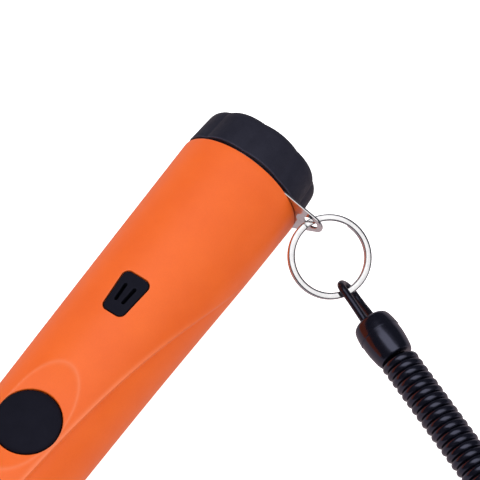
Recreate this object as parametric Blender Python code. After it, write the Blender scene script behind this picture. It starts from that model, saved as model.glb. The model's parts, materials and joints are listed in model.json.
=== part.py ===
"""Pinpointer probe: a hand-held metal detector with a screw battery cap, a lanyard lug and a coiled cord.

Frame: the origin is the centre of the battery cap's flat end face, +X runs along the probe to its
tip, +Z goes up through the power button. Driving dimensions are in millimetres; MM turns them into
metres.
"""
from math import asin, atan2, cos, degrees, exp, pi, radians, sin, sqrt

import bmesh
import bpy
from mathutils import Matrix, Vector

MM = 0.001
GAP = 0.3                      # clearance between neighbouring pieces

# ---------------------------------------------------------------- driving dimensions (mm, degrees)
LENGTH = 235.0
TAIL_RADIUS = 20.0
CAP_END = 12.5                 # open end of the cap's skirt
HOUSING_START = 13.5           # shoulder the lug plate rests on
HOUSING_END = 150.0
TAPER = 0.0229                 # radius lost per mm along the grip
TAPER_GROWTH = 0.000029        # and the extra loss per mm squared
SHOULDER_START = 134.0
SHOULDER_END = 149.0
STEM_RADIUS = 12.3
STEM_TIP_RADIUS = 10.4
TIP_ROUND = 9.0

BATTERY_BORE = 15.2
BATTERY_BAY_END = 57.0
CAVITY_RADIUS = 13.3
SOCKET_RADIUS = 10.65
SOCKET_START = 142.5

NECK_END = 4.0
NECK_RADIUS = 16.5
COLLAR_RADIUS = 17.25          # locates the lug plate
THREAD_START = 5.4
THREAD_PITCH = 3.0
THREAD_HEIGHT = 0.8
THREAD_BASE = 1.5
THREAD_CREST = 0.8

LOBES = 9
LOBE_CREST_RADIUS = 20.0
LOBE_NOTCH_RADIUS = 19.3
LOBE_NOTCH_ANGLE = 2.0         # one notch sits this far round from the top
CAP_BORE = 17.9
CAP_FLOOR = 2.5
CAP_TAPER = 0.8                # radius lost from the skirt to the closed end

SCOOP_START = 30.0             # the thumb scoop fades in here
SCOOP_FULL = 95.0
SCOOP_DEPTH = 1.15
CREASE_FAR_ANGLE = 19.0        # the crease's angle from the top, far along the grip
CREASE_SPREAD = 76.0
CREASE_DECAY = 41.0
CREASE_START = 41.0            # the crease keeps its angle before this
CREASE_COLUMN = 63.0           # the mesh column that lies on the crease
CREASE_HALF_STEP = 1.6

BUTTON_X = 111.5
BUTTON_RADIUS = 9.0
BUTTON_SINK = 0.75             # the button's edge stands this far above the dish's floor
DISH_RADIUS = 60.7             # the button dish is cut by a wheel of this radius
DISH_FLOOR_Z = 15.1

GRILLE_START = 61.6
GRILLE_END = 74.4
GRILLE_WIDE = 4.2              # half-width at the cap end
GRILLE_NARROW = 3.4            # half-width at the tip end
GRILLE_CORNER = 1.8
GRILLE_FOOT_Z = 14.6
SLOT_HALF_LENGTH = 2.95
SLOT_HALF_WIDTH = 0.55
SLOT_OFFSET = 1.35
SLOT_LEAN = 4.0                # each slot turns this far away from the other, towards the cap

LED_X = 141.6
LED_RADIUS = 3.0
LED_TILT = 29.0

LUG_PLATE_START = 12.6
LUG_THICKNESS = 0.8
LUG_INNER_RADIUS = 17.5
LUG_OUTER_RADIUS = 18.6
LUG_HOLE_DISTANCE = 25.2
LUG_EAR_ANGLE = 6.0            # the ear points this far above +Y
LUG_EAR_RADIUS = 4.0
LUG_HOLE_RADIUS = 2.3

RING_MEAN_RADIUS = 11.45
RING_WIDTH = 2.0
RING_TURN_THICKNESS = 1.1
RING_TURN_SPACING = 1.2
RING_NORMAL = Vector((0.217, 0.376, 0.898)).normalized()
RING_HANG = Vector((0.366, 0.821, -0.4375)).normalized()   # from the lug's hole to the ring's centre
RING_LOOP_TURN = 180.0         # the cord loop sits this far round the ring from the hole

CORD_RADIUS = 1.15
LOOP_TAIL = 14.0               # a loop's strands end this far from its bar, inside the sleeve
TAIL_SPREAD = 1.3              # half the distance between the strands there
CORD_DIRECTION = Vector((0.4231, 0.9053, 0.04)).normalized()
SLEEVE_START = 11.3
SLEEVE_LENGTH = 14.0
NEAR_TWIST = (31.0, 101.0)     # the near loop's turn about the cord, at the ring and in the sleeve
FAR_TWIST = (0.0, 75.0)        # the same for the far loop, at the swivel eye and in its sleeve
COIL_LENGTH = 110.0
COIL_OUTER_RADIUS = 5.45
COIL_INNER_RADIUS = 3.0
EYE_BAR = 10.5                 # the swivel eye's bar, measured from the far sleeve's end
HOOK_START = 23.5              # hook barrel, measured from the same place
GATE_X = 11.5                  # the gate's pin, in the hook's frame
GATE_Y = -5.4

BOARD_TOP = 5.0
BOARD_THICKNESS = 1.6
BOARD_START = 60.5
BOARD_END = 134.0
BOARD_HALF_WIDTH = 10.0
SCREW_PLACES = [(82.0, 6.84), (82.0, -6.84), (128.0, 6.84), (128.0, -6.84)]
MOTOR_START = 94.0
MOTOR_LENGTH = 12.0
MOTOR_RADIUS = 3.5
MOTOR_Z = -7.4

# colour, roughness, metallic
FINISHES = {
    "orange_plastic": ((0.83, 0.14, 0.022), 0.42, 0.0),
    "black_plastic": ((0.018, 0.019, 0.028), 0.5, 0.0),
    "black_rubber": ((0.012, 0.012, 0.013), 0.7, 0.0),
    "black_gloss": ((0.008, 0.008, 0.010), 0.15, 0.0),
    "nickel": ((0.72, 0.71, 0.69), 0.15, 1.0),
    "clear_lens": ((0.85, 0.88, 0.9), 0.05, 0.0),
    "circuit_board": ((0.02, 0.16, 0.06), 0.4, 0.0),
    "copper": ((0.80, 0.34, 0.14), 0.3, 1.0),
    "ferrite": ((0.05, 0.05, 0.055), 0.6, 0.0),
    "natural_plastic": ((0.75, 0.73, 0.66), 0.5, 0.0),
    "battery_wrap": ((0.06, 0.07, 0.10), 0.35, 0.0),
    "red_insulation": ((0.6, 0.02, 0.02), 0.4, 0.0),
    "foam": ((0.09, 0.09, 0.10), 0.95, 0.0),
    "steel": ((0.55, 0.56, 0.58), 0.3, 1.0),
}


# ---------------------------------------------------------------- building blocks
def clear_scene():
    for old in list(bpy.data.objects):
        bpy.data.objects.remove(old, do_unlink=True)


def finish_material(name):
    """One Principled material for each finish, made on first use."""
    found = bpy.data.materials.get(name)
    if found:
        return found
    color, roughness, metallic = FINISHES[name]
    made = bpy.data.materials.new(name)
    made.use_nodes = True
    shader = made.node_tree.nodes["Principled BSDF"]
    shader.inputs["Base Color"].default_value = (*color, 1.0)
    shader.inputs["Roughness"].default_value = roughness
    shader.inputs["Metallic"].default_value = metallic
    made.diffuse_color = (*color, 1.0)
    return made


def make_object(name, points, faces, finish, parent=None, smooth=35.0):
    """A mesh object from points in mm and faces by index, with its faces turned outwards."""
    mesh = bpy.data.meshes.new(name)
    mesh.from_pydata([Vector(p) * MM for p in points], [], faces)
    work = bmesh.new()
    work.from_mesh(mesh)
    bmesh.ops.recalc_face_normals(work, faces=work.faces)
    if work.calc_volume(signed=True) < 0:
        bmesh.ops.reverse_faces(work, faces=work.faces)
    work.to_mesh(mesh)
    work.free()
    mesh.shade_smooth()
    mesh.set_sharp_from_angle(angle=radians(smooth))
    made = bpy.data.objects.new(name, mesh)
    bpy.context.scene.collection.objects.link(made)
    mesh.materials.append(finish_material(finish))
    if parent:
        made.parent = parent
    return made


def axis_empty(name, matrix, parent=None):
    """An empty on a joint's axis; matrix is its place in the world, in mm."""
    made = bpy.data.objects.new(name, None)
    made.empty_display_size = 0.01
    bpy.context.scene.collection.objects.link(made)
    world = matrix.copy()
    world.translation = matrix.translation * MM
    if parent:
        made.parent = parent
        bpy.context.view_layer.update()
        made.matrix_parent_inverse = Matrix.Identity(4)
        made.matrix_local = parent.matrix_world.inverted() @ world
    else:
        made.matrix_world = world
    bpy.context.view_layer.update()
    return made


def ring_solid(rings, closed_loop):
    """Points and faces joining rings of equal size; a ring may be one pole point.

    closed_loop joins the last ring back to the first, which makes a tube with a hole through it.
    """
    points = []
    starts = []
    for ring in rings:
        starts.append(len(points))
        points.extend(ring)
    faces = []
    pairs = len(rings) if closed_loop else len(rings) - 1
    for i in range(pairs):
        j = (i + 1) % len(rings)
        count = max(len(rings[i]), len(rings[j]))
        for k in range(count):
            n = (k + 1) % count
            a = starts[i] + (k if len(rings[i]) > 1 else 0)
            b = starts[i] + (n if len(rings[i]) > 1 else 0)
            c = starts[j] + (n if len(rings[j]) > 1 else 0)
            d = starts[j] + (k if len(rings[j]) > 1 else 0)
            faces.append([v for i_v, v in enumerate((a, b, c, d)) if v not in (a, b, c, d)[:i_v]])
    return points, faces


def circle(x, radius, count, turn=0.0):
    """A ring of points round the X axis, or its one pole point."""
    if radius == 0:
        return [(x, 0.0, 0.0)]
    steps = [turn + 2 * pi * k / count for k in range(count)]
    return [(x, radius * cos(a), radius * sin(a)) for a in steps]


def lathe(name, profile, count, finish, parent=None, smooth=35.0, turn=0.0):
    """A solid turned round X from (x, radius) points; open profiles start and end on the axis."""
    closed_loop = profile[0][1] > 0
    rings = [circle(x, r, count, turn) for x, r in profile]
    points, faces = ring_solid(rings, closed_loop)
    return make_object(name, points, faces, finish, parent, smooth)


def torus_profile(x, radius, section, count=6):
    """A closed round profile for an O-ring."""
    steps = [2 * pi * k / count for k in range(count)]
    return [(x + section * cos(a), radius + section * sin(a)) for a in steps]


def prism(outline, low, high):
    """Points and faces of a straight prism over an (x, y) outline, from z = low to z = high."""
    count = len(outline)
    points = [(x, y, low) for x, y in outline] + [(x, y, high) for x, y in outline]
    sides = [(k, (k + 1) % count, count + (k + 1) % count, count + k) for k in range(count)]
    return points, sides + [tuple(range(count)), tuple(range(count, 2 * count))]


def rounded_outline(half_x, half_y, corner, steps=3, centre=(0.0, 0.0)):
    """A rectangle with round corners, as (x, y) points."""
    outline = []
    for quarter in range(4):
        cx = (half_x - corner) * (1 if quarter in (0, 3) else -1)
        cy = (half_y - corner) * (1 if quarter in (0, 1) else -1)
        for k in range(steps + 1):
            a = pi / 2 * (quarter + k / steps)
            outline.append((centre[0] + cx + corner * cos(a), centre[1] + cy + corner * sin(a)))
    return outline


def upright(name, outline, low, high, finish, parent=None):
    """A prism standing along Z."""
    points, faces = prism(outline, low, high)
    return make_object(name, points, faces, finish, parent)


def along_x(name, outline, low, high, finish, parent=None):
    """A prism lying along X over a (y, z) outline."""
    points, faces = prism(outline, low, high)
    return make_object(name, [(p[2], p[0], p[1]) for p in points], faces, finish, parent)


def disc_outline(radius, count, centre=(0.0, 0.0)):
    steps = [2 * pi * k / count for k in range(count)]
    return [(centre[0] + radius * cos(a), centre[1] + radius * sin(a)) for a in steps]


def sweep(name, path, section, finish, parent=None, closed_loop=False, side=Vector((0, 0, 1))):
    """A solid along a path; section(i) gives (across, up) points, and side is the up hint."""
    path = [Vector(p) for p in path]
    rings = []
    last = len(path) - 1
    for i, point in enumerate(path):
        before = path[i - 1] if i > 0 or closed_loop else path[0]
        after = path[(i + 1) % len(path)] if i < last or closed_loop else path[last]
        ahead = (after - before).normalized()
        across = ahead.cross(side).normalized()
        up = across.cross(ahead)
        rings.append([tuple(point + across * u + up * v) for u, v in section(i)])
    points, faces = ring_solid(rings, closed_loop)
    if not closed_loop:
        count = len(rings[0])
        faces.append(tuple(range(count)))
        faces.append(tuple(range(len(points) - count, len(points))))
    return make_object(name, points, faces, finish, parent)


def round_section(radius, count=8):
    outline = disc_outline(radius, count)
    return lambda i: outline


def combine(target, tool, operation):
    """A Boolean on target; the tool stays as a hidden guide."""
    tool.hide_render = True
    tool.display_type = "WIRE"
    step = target.modifiers.new(operation.lower() + "_" + tool.name, "BOOLEAN")
    step.operation = operation
    step.object = tool
    step.solver = "EXACT"


def smoothstep(low, high, value):
    t = min(1.0, max(0.0, (value - low) / (high - low)))
    return t * t * (3 - 2 * t)


# ---------------------------------------------------------------- grip housing
def stem_radius(x):
    share = (x - SHOULDER_END) / (LENGTH - TIP_ROUND - SHOULDER_END)
    return STEM_RADIUS + (STEM_TIP_RADIUS - STEM_RADIUS) * share


def grip_radius(x):
    """The round body's radius, before the scoop is taken off."""
    run = x - HOUSING_START
    grip = TAIL_RADIUS - TAPER * run - TAPER_GROWTH * run * run
    return grip + (stem_radius(x) - grip) * smoothstep(SHOULDER_START, SHOULDER_END, x)


def crease_angle(x):
    """Where the scoop's upper edge lies at x, in degrees from the top towards +Y."""
    run = max(x, CREASE_START) - CREASE_START
    return CREASE_FAR_ANGLE + CREASE_SPREAD * exp(-run / CREASE_DECAY)


def housing_columns():
    """Column angles before they bend to follow the crease: even steps, and a close pair on it."""
    step = 9.0
    even = [step * k for k in range(40) if abs(step * k - CREASE_COLUMN) > 1.0]
    return sorted(even + [CREASE_COLUMN - CREASE_HALF_STEP, CREASE_COLUMN + CREASE_HALF_STEP])


def bent_angle(column, x):
    """Columns near the crease shift with it, and the far side stays put."""
    inboard = 90.0
    outboard = 120.0
    away = (column - CREASE_COLUMN + 180.0) % 360.0 - 180.0
    reach = inboard if away < 0 else outboard
    shift = (crease_angle(x) - CREASE_COLUMN) * max(0.0, 1.0 - abs(away) / reach)
    return column + shift


def scoop_depth(column, x):
    """How far the surface drops below the round body: sharp at the crease, then easing out."""
    away = (column - CREASE_COLUMN + 180.0) % 360.0 - 180.0
    if away < 0:
        return 0.0
    fade = smoothstep(SCOOP_START, SCOOP_FULL, x) * (1 - smoothstep(SHOULDER_START - 2, SHOULDER_END, x))
    return SCOOP_DEPTH * fade * (1 - smoothstep(10.0, 105.0, away))


def housing_ring(x, radius=None):
    """One ring of the housing: the outer surface, or a round inner wall when radius is given."""
    ring = []
    for column in housing_columns():
        angle = radians(bent_angle(column, x) if radius is None else column)
        reach = radius or grip_radius(x) - scoop_depth(column, x)
        ring.append((x, reach * sin(angle), reach * cos(angle)))
    return ring


def housing_outer_stations():
    grip = [HOUSING_START + 0.5 + 7.6 * k for k in range(16)]
    shoulder = [SHOULDER_START + 2.5 * k for k in range(7)]
    return grip + shoulder


def edge_ring(x, inset):
    """A ring at the housing's end, pulled in by the edge rounding."""
    return [(x, y * (1 - inset / TAIL_RADIUS), z * (1 - inset / TAIL_RADIUS))
            for _, y, z in housing_ring(HOUSING_START + 0.5)]


def grip_housing():
    inner = [(HOUSING_START, COLLAR_RADIUS), (LUG_PLATE_START - 0.3, COLLAR_RADIUS),
             (LUG_PLATE_START - 0.7, NECK_RADIUS), (NECK_END + 0.4, NECK_RADIUS),
             (NECK_END, NECK_RADIUS - 0.4), (NECK_END, BATTERY_BORE + 0.3),
             (NECK_END + 0.6, BATTERY_BORE), (BATTERY_BAY_END, BATTERY_BORE),
             (BATTERY_BAY_END + 0.6, CAVITY_RADIUS), (SOCKET_START - 5.0, CAVITY_RADIUS),
             (SOCKET_START, SOCKET_RADIUS), (HOUSING_END, SOCKET_RADIUS)]
    rings = [housing_ring(x, r) for x, r in reversed(inner)]
    rings.append(edge_ring(HOUSING_START, 0.35))
    rings += [housing_ring(x) for x in housing_outer_stations()]
    rings.append(housing_ring(HOUSING_END, stem_radius(HOUSING_END) - 0.3))
    points, faces = ring_solid(rings, True)
    housing = make_object("grip_housing", points, faces, "orange_plastic", smooth=28.0)
    combine(housing, thread_ridge("neck_thread", NECK_RADIUS, 1, THREAD_START, 2.0), "UNION")
    combine(housing, button_dish(), "DIFFERENCE")
    combine(housing, button_opening(), "DIFFERENCE")
    combine(housing, grille_block("grille_opening", GAP, 10.0), "DIFFERENCE")
    combine(housing, led_bore(), "DIFFERENCE")
    return housing


def thread_ridge(name, wall, outward, start, turns, steps=20):
    """A right-handed helical ridge on a wall of the given radius; outward is 1 or -1."""
    sunk = wall - outward * 0.3
    crest = wall + outward * THREAD_HEIGHT
    rings = []
    total = int(steps * turns)
    for k in range(total + 1):
        angle = 2 * pi * k / steps
        x = start + THREAD_PITCH * k / steps
        taper = min(1.0, k / 4 + 0.15, (total - k) / 4 + 0.15)
        top = wall + (crest - wall) * taper
        corners = [(-THREAD_BASE / 2, sunk), (-THREAD_CREST / 2, top),
                   (THREAD_CREST / 2, top), (THREAD_BASE / 2, sunk)]
        rings.append([(x + dx, r * cos(angle), r * sin(angle)) for dx, r in corners])
    points, faces = ring_solid(rings, False)
    faces.append((0, 1, 2, 3))
    faces.append(tuple(range(len(points) - 4, len(points))))
    return make_object(name, points, faces, "orange_plastic")


def button_dish():
    """A wide wheel lying across the grip that cuts the flat-bottomed saddle round the button."""
    profile = [(-14.0, 0.0), (-14.0, DISH_RADIUS), (14.0, DISH_RADIUS), (14.0, 0.0)]
    rings = [circle(y, r, 90, radians(2.0)) for y, r in profile]
    points, faces = ring_solid(rings, False)
    centre_z = DISH_FLOOR_Z + DISH_RADIUS
    placed = [(BUTTON_X + p[1], p[0], centre_z + p[2]) for p in points]
    return make_object("button_dish", placed, faces, "orange_plastic")


def button_opening():
    outline = disc_outline(BUTTON_RADIUS + GAP, 36, (BUTTON_X, 0.0))
    return upright("button_opening", outline, 6.0, 24.0, "orange_plastic")


def grille_outline(grow):
    """The grille's rounded trapezoid seen from above, grown by the given clearance."""
    start = GRILLE_START - grow
    end = GRILLE_END + grow
    corner = GRILLE_CORNER + grow
    side = 90.0 - degrees(atan2(GRILLE_WIDE - GRILLE_NARROW, end - start))
    upper = []
    for centre_x, half, first, last in ((end - corner, GRILLE_NARROW + grow, 0.0, side),
                                        (start + corner, GRILLE_WIDE + grow, side, 180.0)):
        for k in range(6):
            a = radians(first + (last - first) * k / 5)
            upper.append((centre_x + corner * cos(a), half - corner + corner * sin(a)))
    return upper + [(x, -y) for x, y in reversed(upper)]


def grille_block(name, grow, low):
    return upright(name, grille_outline(grow), low, 24.0, "orange_plastic")


def led_matrix(x=LED_X):
    """X points out of the shoulder along the lamp's axis."""
    z = grip_radius(x)
    turn = Matrix.Rotation(radians(-(90.0 - LED_TILT)), 4, "Y")
    return Matrix.Translation((x, 0.0, z)) @ turn


def place(made, matrix):
    """Moves a finished object's points by a matrix given in mm."""
    world = matrix.copy()
    world.translation = matrix.translation * MM
    made.data.transform(world)
    return made


def led_bore():
    bore = lathe("led_bore", [(-9.0, 0.0), (-9.0, LED_RADIUS + GAP), (4.0, LED_RADIUS + GAP), (4.0, 0.0)],
                 32, "orange_plastic")
    return place(bore, led_matrix())


# ---------------------------------------------------------------- other shells and controls
def probe_stem():
    back = HOUSING_END - 6.5
    front = HOUSING_END + GAP
    bore = 8.9
    groove = 9.35
    outer = [(back, 9.9), (back + 0.5, 10.35), (back + 2.2, 10.35), (back + 2.2, groove),
             (back + 3.8, groove), (back + 3.8, 10.35), (front, 10.35), (front, 12.0), (front + 0.5, 12.45),
             (front + 2.6, 12.45), (front + 3.1, 12.1)]
    run = [(x, stem_radius(x) - 0.1) for x in (170.0, 200.0)]
    arc_start = LENGTH - TIP_ROUND
    tip_radius = stem_radius(arc_start) - 0.1
    arc = [(arc_start + TIP_ROUND * sin(a), tip_radius * cos(a)) for a in
           [radians(15.0 * k) for k in range(6)]]
    inside = [(LENGTH - 2.2, 0.0), (LENGTH - 3.4, 4.4), (LENGTH - 7.0, 7.6), (LENGTH - 10.0, bore),
              (back, bore)]
    count = 32
    rings = [circle(x, r, count) for x, r in [(LENGTH, 0.0)] + list(reversed(outer + run + arc))]
    rings += [circle(x, r, count) for x, r in reversed(inside)]
    points, faces = ring_solid(rings, False)
    return make_object("probe_stem", points, faces, "black_plastic")


def stem_seal():
    return lathe("stem_seal", torus_profile(HOUSING_END - 3.5, 9.98, 0.5), 28, "black_rubber")


def led_lens():
    profile = [(-2.6, 0.0), (-2.6, LED_RADIUS), (-0.2, LED_RADIUS), (0.4, LED_RADIUS * 0.82),
               (0.75, LED_RADIUS * 0.45), (0.85, 0.0)]
    return place(lathe("led_lens", profile, 32, "clear_lens"), led_matrix())


def led_lamp():
    profile = [(-8.6, 0.0), (-8.6, 2.7), (-7.9, 2.7), (-7.9, 2.3), (-4.6, 2.3), (-3.4, 1.4), (-3.0, 0.0)]
    return place(lathe("led_lamp", profile, 20, "clear_lens"), led_matrix())


def speaker_grille():
    """A plug with two slots whose top follows the grip's curve."""
    plug = grille_block("speaker_grille", 0.0, GRILLE_FOOT_Z)
    plug.data.materials.clear()
    plug.data.materials.append(finish_material("black_plastic"))
    stations = [50.0, 60.0, 70.0, 86.0]
    profile = [(50.0, 0.0)] + [(x, grip_radius(x) + 0.02) for x in stations] + [(86.0, 0.0)]
    combine(plug, lathe("grille_surface", profile, 96, "black_plastic", turn=pi / 2), "INTERSECT")
    for side in (-1, 1):
        outline = rounded_outline(SLOT_HALF_LENGTH, SLOT_HALF_WIDTH, SLOT_HALF_WIDTH - 0.01)
        slot = upright("grille_slot_left" if side < 0 else "grille_slot_right", outline, 10.0, 24.0,
                       "black_plastic")
        lean = Matrix.Rotation(radians(-SLOT_LEAN * side), 4, "Z")
        middle = (GRILLE_START + GRILLE_END) / 2
        place(slot, Matrix.Translation((middle, side * SLOT_OFFSET, 0.0)) @ lean)
        combine(plug, slot, "DIFFERENCE")
    return plug


def power_button():
    """A domed cap with a skirt, a centre post over the switch and two tabs under the housing."""
    top = DISH_FLOOR_Z + BUTTON_SINK
    profile = [(top + 0.75, 0.0), (top + 0.62, 3.5), (top + 0.3, 7.0), (top - 0.02, BUTTON_RADIUS - 0.6),
               (top - 0.45, BUTTON_RADIUS), (10.9, BUTTON_RADIUS), (10.9, 7.6), (13.6, 7.6), (13.6, 2.0),
               (12.65, 2.0), (12.65, 0.0)]
    axis = axis_empty("button_axis", Matrix.Translation((BUTTON_X, 0.0, 0.0)))
    button = upright_lathe("power_button", profile, 36, "black_plastic", parent=axis)
    tabs = upright("button_tabs", rounded_outline(11.2, 3.5, 0.8, 2), 10.9, 11.9, "black_plastic", axis)
    hollow = upright("button_tab_gap", rounded_outline(8.5, 5.0, 0.5, 2), 10.0, 12.5, "black_plastic", axis)
    combine(tabs, hollow, "DIFFERENCE")
    combine(button, tabs, "UNION")
    stem = [(8.2, 0.0), (8.2, 1.6), (12.35, 1.6), (12.35, 0.0)]
    upright_lathe("switch_stem", stem, 20, "natural_plastic", parent=axis)


def tact_switch():
    body = upright("tact_switch", rounded_outline(3.0, 3.0, 0.4, 2, (BUTTON_X, 0.0)), BOARD_TOP + 0.1,
                   8.6, "black_plastic")
    hole = upright("switch_hole", disc_outline(1.75, 20, (BUTTON_X, 0.0)), 6.2, 10.0, "black_plastic")
    combine(body, hole, "DIFFERENCE")


# ---------------------------------------------------------------- battery end
def lobe_radius(angle):
    """The cap's radius at an angle in degrees from the top: arcs that meet in shallow notches."""
    half = radians(180.0 / LOBES)
    centre = (LOBE_CREST_RADIUS ** 2 - LOBE_NOTCH_RADIUS ** 2) / (
        2 * (LOBE_CREST_RADIUS - LOBE_NOTCH_RADIUS * cos(half)))
    arc = LOBE_CREST_RADIUS - centre
    step = 360.0 / LOBES
    away = radians((angle - LOBE_NOTCH_ANGLE) % step - step / 2)
    return centre * cos(away) + sqrt(arc * arc - (centre * sin(away)) ** 2)


def lobed_ring(x, inset, count):
    ring = []
    for k in range(count):
        angle = LOBE_NOTCH_ANGLE + 360.0 * k / count
        reach = lobe_radius(angle) - inset
        ring.append((x, reach * sin(radians(angle)), reach * cos(radians(angle))))
    return ring


def battery_cap():
    count = LOBES * 6
    rounding = [(0.0, 2.4), (0.5, 1.1), (1.5, 0.3), (3.0, 0.0), (CAP_END - 0.4, 0.0), (CAP_END, 0.4)]
    outer = [(x, inset + CAP_TAPER * (1.0 - x / CAP_END)) for x, inset in rounding]
    inner = [(CAP_END, CAP_BORE + 0.2), (CAP_END - 0.3, CAP_BORE), (CAP_FLOOR, CAP_BORE)]

    def plain_ring(x, r):
        turns = [radians(LOBE_NOTCH_ANGLE + 360.0 * k / count) for k in range(count)]
        return [(x, r * sin(a), r * cos(a)) for a in turns]

    rings = [[(0.0, 0.0, 0.0)]] + [lobed_ring(x, inset, count) for x, inset in outer]
    rings += [plain_ring(x, r) for x, r in inner] + [[(CAP_FLOOR, 0.0, 0.0)]]
    points, faces = ring_solid(rings, False)
    cap = make_object("battery_cap", points, faces, "black_plastic", smooth=30.0)
    ridge = thread_ridge("cap_thread", CAP_BORE, -1, THREAD_START + THREAD_PITCH / 2, 1.4)
    combine(cap, ridge, "UNION")
    return cap


def battery_pieces():
    lathe("cap_seal", torus_profile(3.25, 16.2, 0.6), 32, "black_rubber")
    lathe("battery_pad", [(2.8, 0.0), (2.8, 12.0), (5.5, 12.0), (5.5, 0.0)], 32, "foam")
    outline = rounded_outline(13.1, 8.6, 2.6, 3)
    battery = along_x("battery_9v", outline, 5.8, 52.2, "battery_wrap")
    battery_terminal(battery, "snap_socket", 6.35, 3.6, 53.9)
    battery_terminal(battery, "snap_stud", -6.35, 2.7, 53.7)
    plate = along_x("battery_connector", rounded_outline(13.0, 8.4, 2.4, 3), 54.9, 56.5, "black_plastic")
    for y in (-4.0, 4.0):
        hole = along_x("lead_hole_" + ("left" if y < 0 else "right"), disc_outline(1.1, 12, (y, 0.0)),
                       50.0, 58.0, "black_plastic")
        combine(plate, hole, "DIFFERENCE")
    for y, name in ((-6.35, "contact_plus"), (6.35, "contact_minus")):
        along_x(name, disc_outline(2.2, 16, (y, 0.0)), 54.2, 54.6, "nickel")


def battery_terminal(battery, name, y, radius, end):
    stud = along_x(name, disc_outline(radius, 16, (y, 0.0)), 51.5, end, "nickel")
    combine(battery, stud, "UNION")


# ---------------------------------------------------------------- electronics
def chassis():
    """A tray with two rails under the board, four screw posts and a round bulkhead."""
    tray = upright("chassis", rounded_outline(36.5, 9.0, 1.0, 2, (96.0, 0.0)), -2.6, -1.2, "natural_plastic")
    for side in (-1, 1):
        rail = upright("rail_left" if side < 0 else "rail_right",
                       rounded_outline(36.0, 0.7, 0.3, 1, (96.0, side * 8.2)), -2.0, 3.1, "natural_plastic")
        combine(tray, rail, "UNION")
    for i, (x, y) in enumerate(SCREW_PLACES):
        post = upright("post_%d" % i, disc_outline(1.9, 14, (x, y)), -2.1, 3.1, "natural_plastic")
        combine(tray, post, "UNION")
    for i, (x, y) in enumerate(SCREW_PLACES):
        pilot = upright("pilot_%d" % i, disc_outline(0.95, 12, (x, y)), -0.6, 6.0, "natural_plastic")
        combine(tray, pilot, "DIFFERENCE")
    bulkhead = along_x("bulkhead", disc_outline(12.9, 28), 58.2, 60.0, "natural_plastic")
    combine(tray, bulkhead, "UNION")
    for y in (-4.0, 4.0):
        hole = along_x("bulkhead_hole_" + ("left" if y < 0 else "right"), disc_outline(1.2, 12, (y, 0.0)),
                       56.0, 62.0, "natural_plastic")
        combine(tray, hole, "DIFFERENCE")
    return tray


def main_board():
    half = (BOARD_END - BOARD_START) / 2
    outline = rounded_outline(half, BOARD_HALF_WIDTH, 1.0, 2, (BOARD_START + half, 0.0))
    board = upright("main_board", outline, BOARD_TOP - BOARD_THICKNESS, BOARD_TOP, "circuit_board")
    for i, (x, y) in enumerate(SCREW_PLACES):
        hole = upright("board_hole_%d" % i, disc_outline(1.15, 12, (x, y)), 2.0, 7.0, "circuit_board")
        combine(board, hole, "DIFFERENCE")
        board_screw("board_screw_%d" % (i + 1), x, y)


def upright_lathe(name, profile, count, finish, x=0.0, y=0.0, parent=None):
    """A solid turned round a vertical axis from (z, radius) points."""
    points, faces = ring_solid([circle(z, r, count) for z, r in profile], False)
    return make_object(name, [(x + p[1], y + p[2], p[0]) for p in points], faces, finish, parent)


def board_screw(name, x, y):
    head = BOARD_TOP + 0.1
    profile = [(0.0, 0.0), (0.0, 0.75), (head, 0.75), (head, 1.75), (head + 0.8, 1.75), (head + 1.15, 1.2),
               (head + 1.15, 0.5), (head + 0.6, 0.5), (head + 0.6, 0.0)]
    upright_lathe(name, profile, 12, "steel", x, y)


def board_components():
    chip = rounded_outline(5.0, 5.0, 0.5, 2, (89.0, 0.0))
    upright("control_chip", chip, BOARD_TOP + 0.1, BOARD_TOP + 1.7, "black_plastic")
    can = [(5.1, 0.0), (5.1, 2.4), (9.4, 2.4), (9.8, 2.1), (9.8, 0.0)]
    upright_lathe("capacitor_left", can, 16, "battery_wrap", 97.5, -5.2)
    upright_lathe("capacitor_right", can, 16, "battery_wrap", 97.5, 5.2)
    can = [(5.1, 0.0), (5.1, 6.2), (8.6, 6.2), (9.2, 5.6), (9.2, 1.0), (7.5, 1.0), (7.5, 0.0)]
    upright_lathe("sounder", can, 20, "black_plastic", 68.0)


def vibration_motor():
    start = MOTOR_START
    end = start + MOTOR_LENGTH
    axis = axis_empty("motor_axis", Matrix.Translation((0.0, 0.0, MOTOR_Z)))
    can = [(start, 0.0), (start, 3.1), (start + 0.4, MOTOR_RADIUS), (end - 0.3, MOTOR_RADIUS), (end, 3.2),
           (end, 0.62), (end - 3.0, 0.62), (end - 3.0, 0.0)]
    lathe("vibration_motor", can, 24, "steel", axis)
    lathe("motor_shaft", [(end - 2.6, 0.0), (end - 2.6, 0.5), (end + 5.4, 0.5), (end + 5.4, 0.0)], 12,
          "steel", axis)
    half_turn = [(3.1 * cos(a), 3.1 * sin(a)) for a in [radians(200.0 + 14.0 * k) for k in range(11)]]
    hub = [(1.3 * cos(a), 1.3 * sin(a)) for a in [radians(10.0 + 32.0 * k) for k in range(6)]]
    weight = along_x("motor_weight", half_turn + hub, end + 1.0, end + 5.0, "steel", axis)
    bore = along_x("weight_bore", disc_outline(0.56, 12), end, end + 6.0, "steel", axis)
    combine(weight, bore, "DIFFERENCE")
    cradle = along_x("motor_cradle", [(-4.6, -3.0), (4.6, -3.0), (4.6, MOTOR_Z - 1.5), (-4.6, MOTOR_Z - 1.5)],
                     start + 1.5, end - 1.5, "natural_plastic")
    seat = along_x("cradle_seat", disc_outline(MOTOR_RADIUS + 0.15, 24, (0.0, MOTOR_Z)), start, end,
                   "natural_plastic")
    combine(cradle, seat, "DIFFERENCE")


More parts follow.
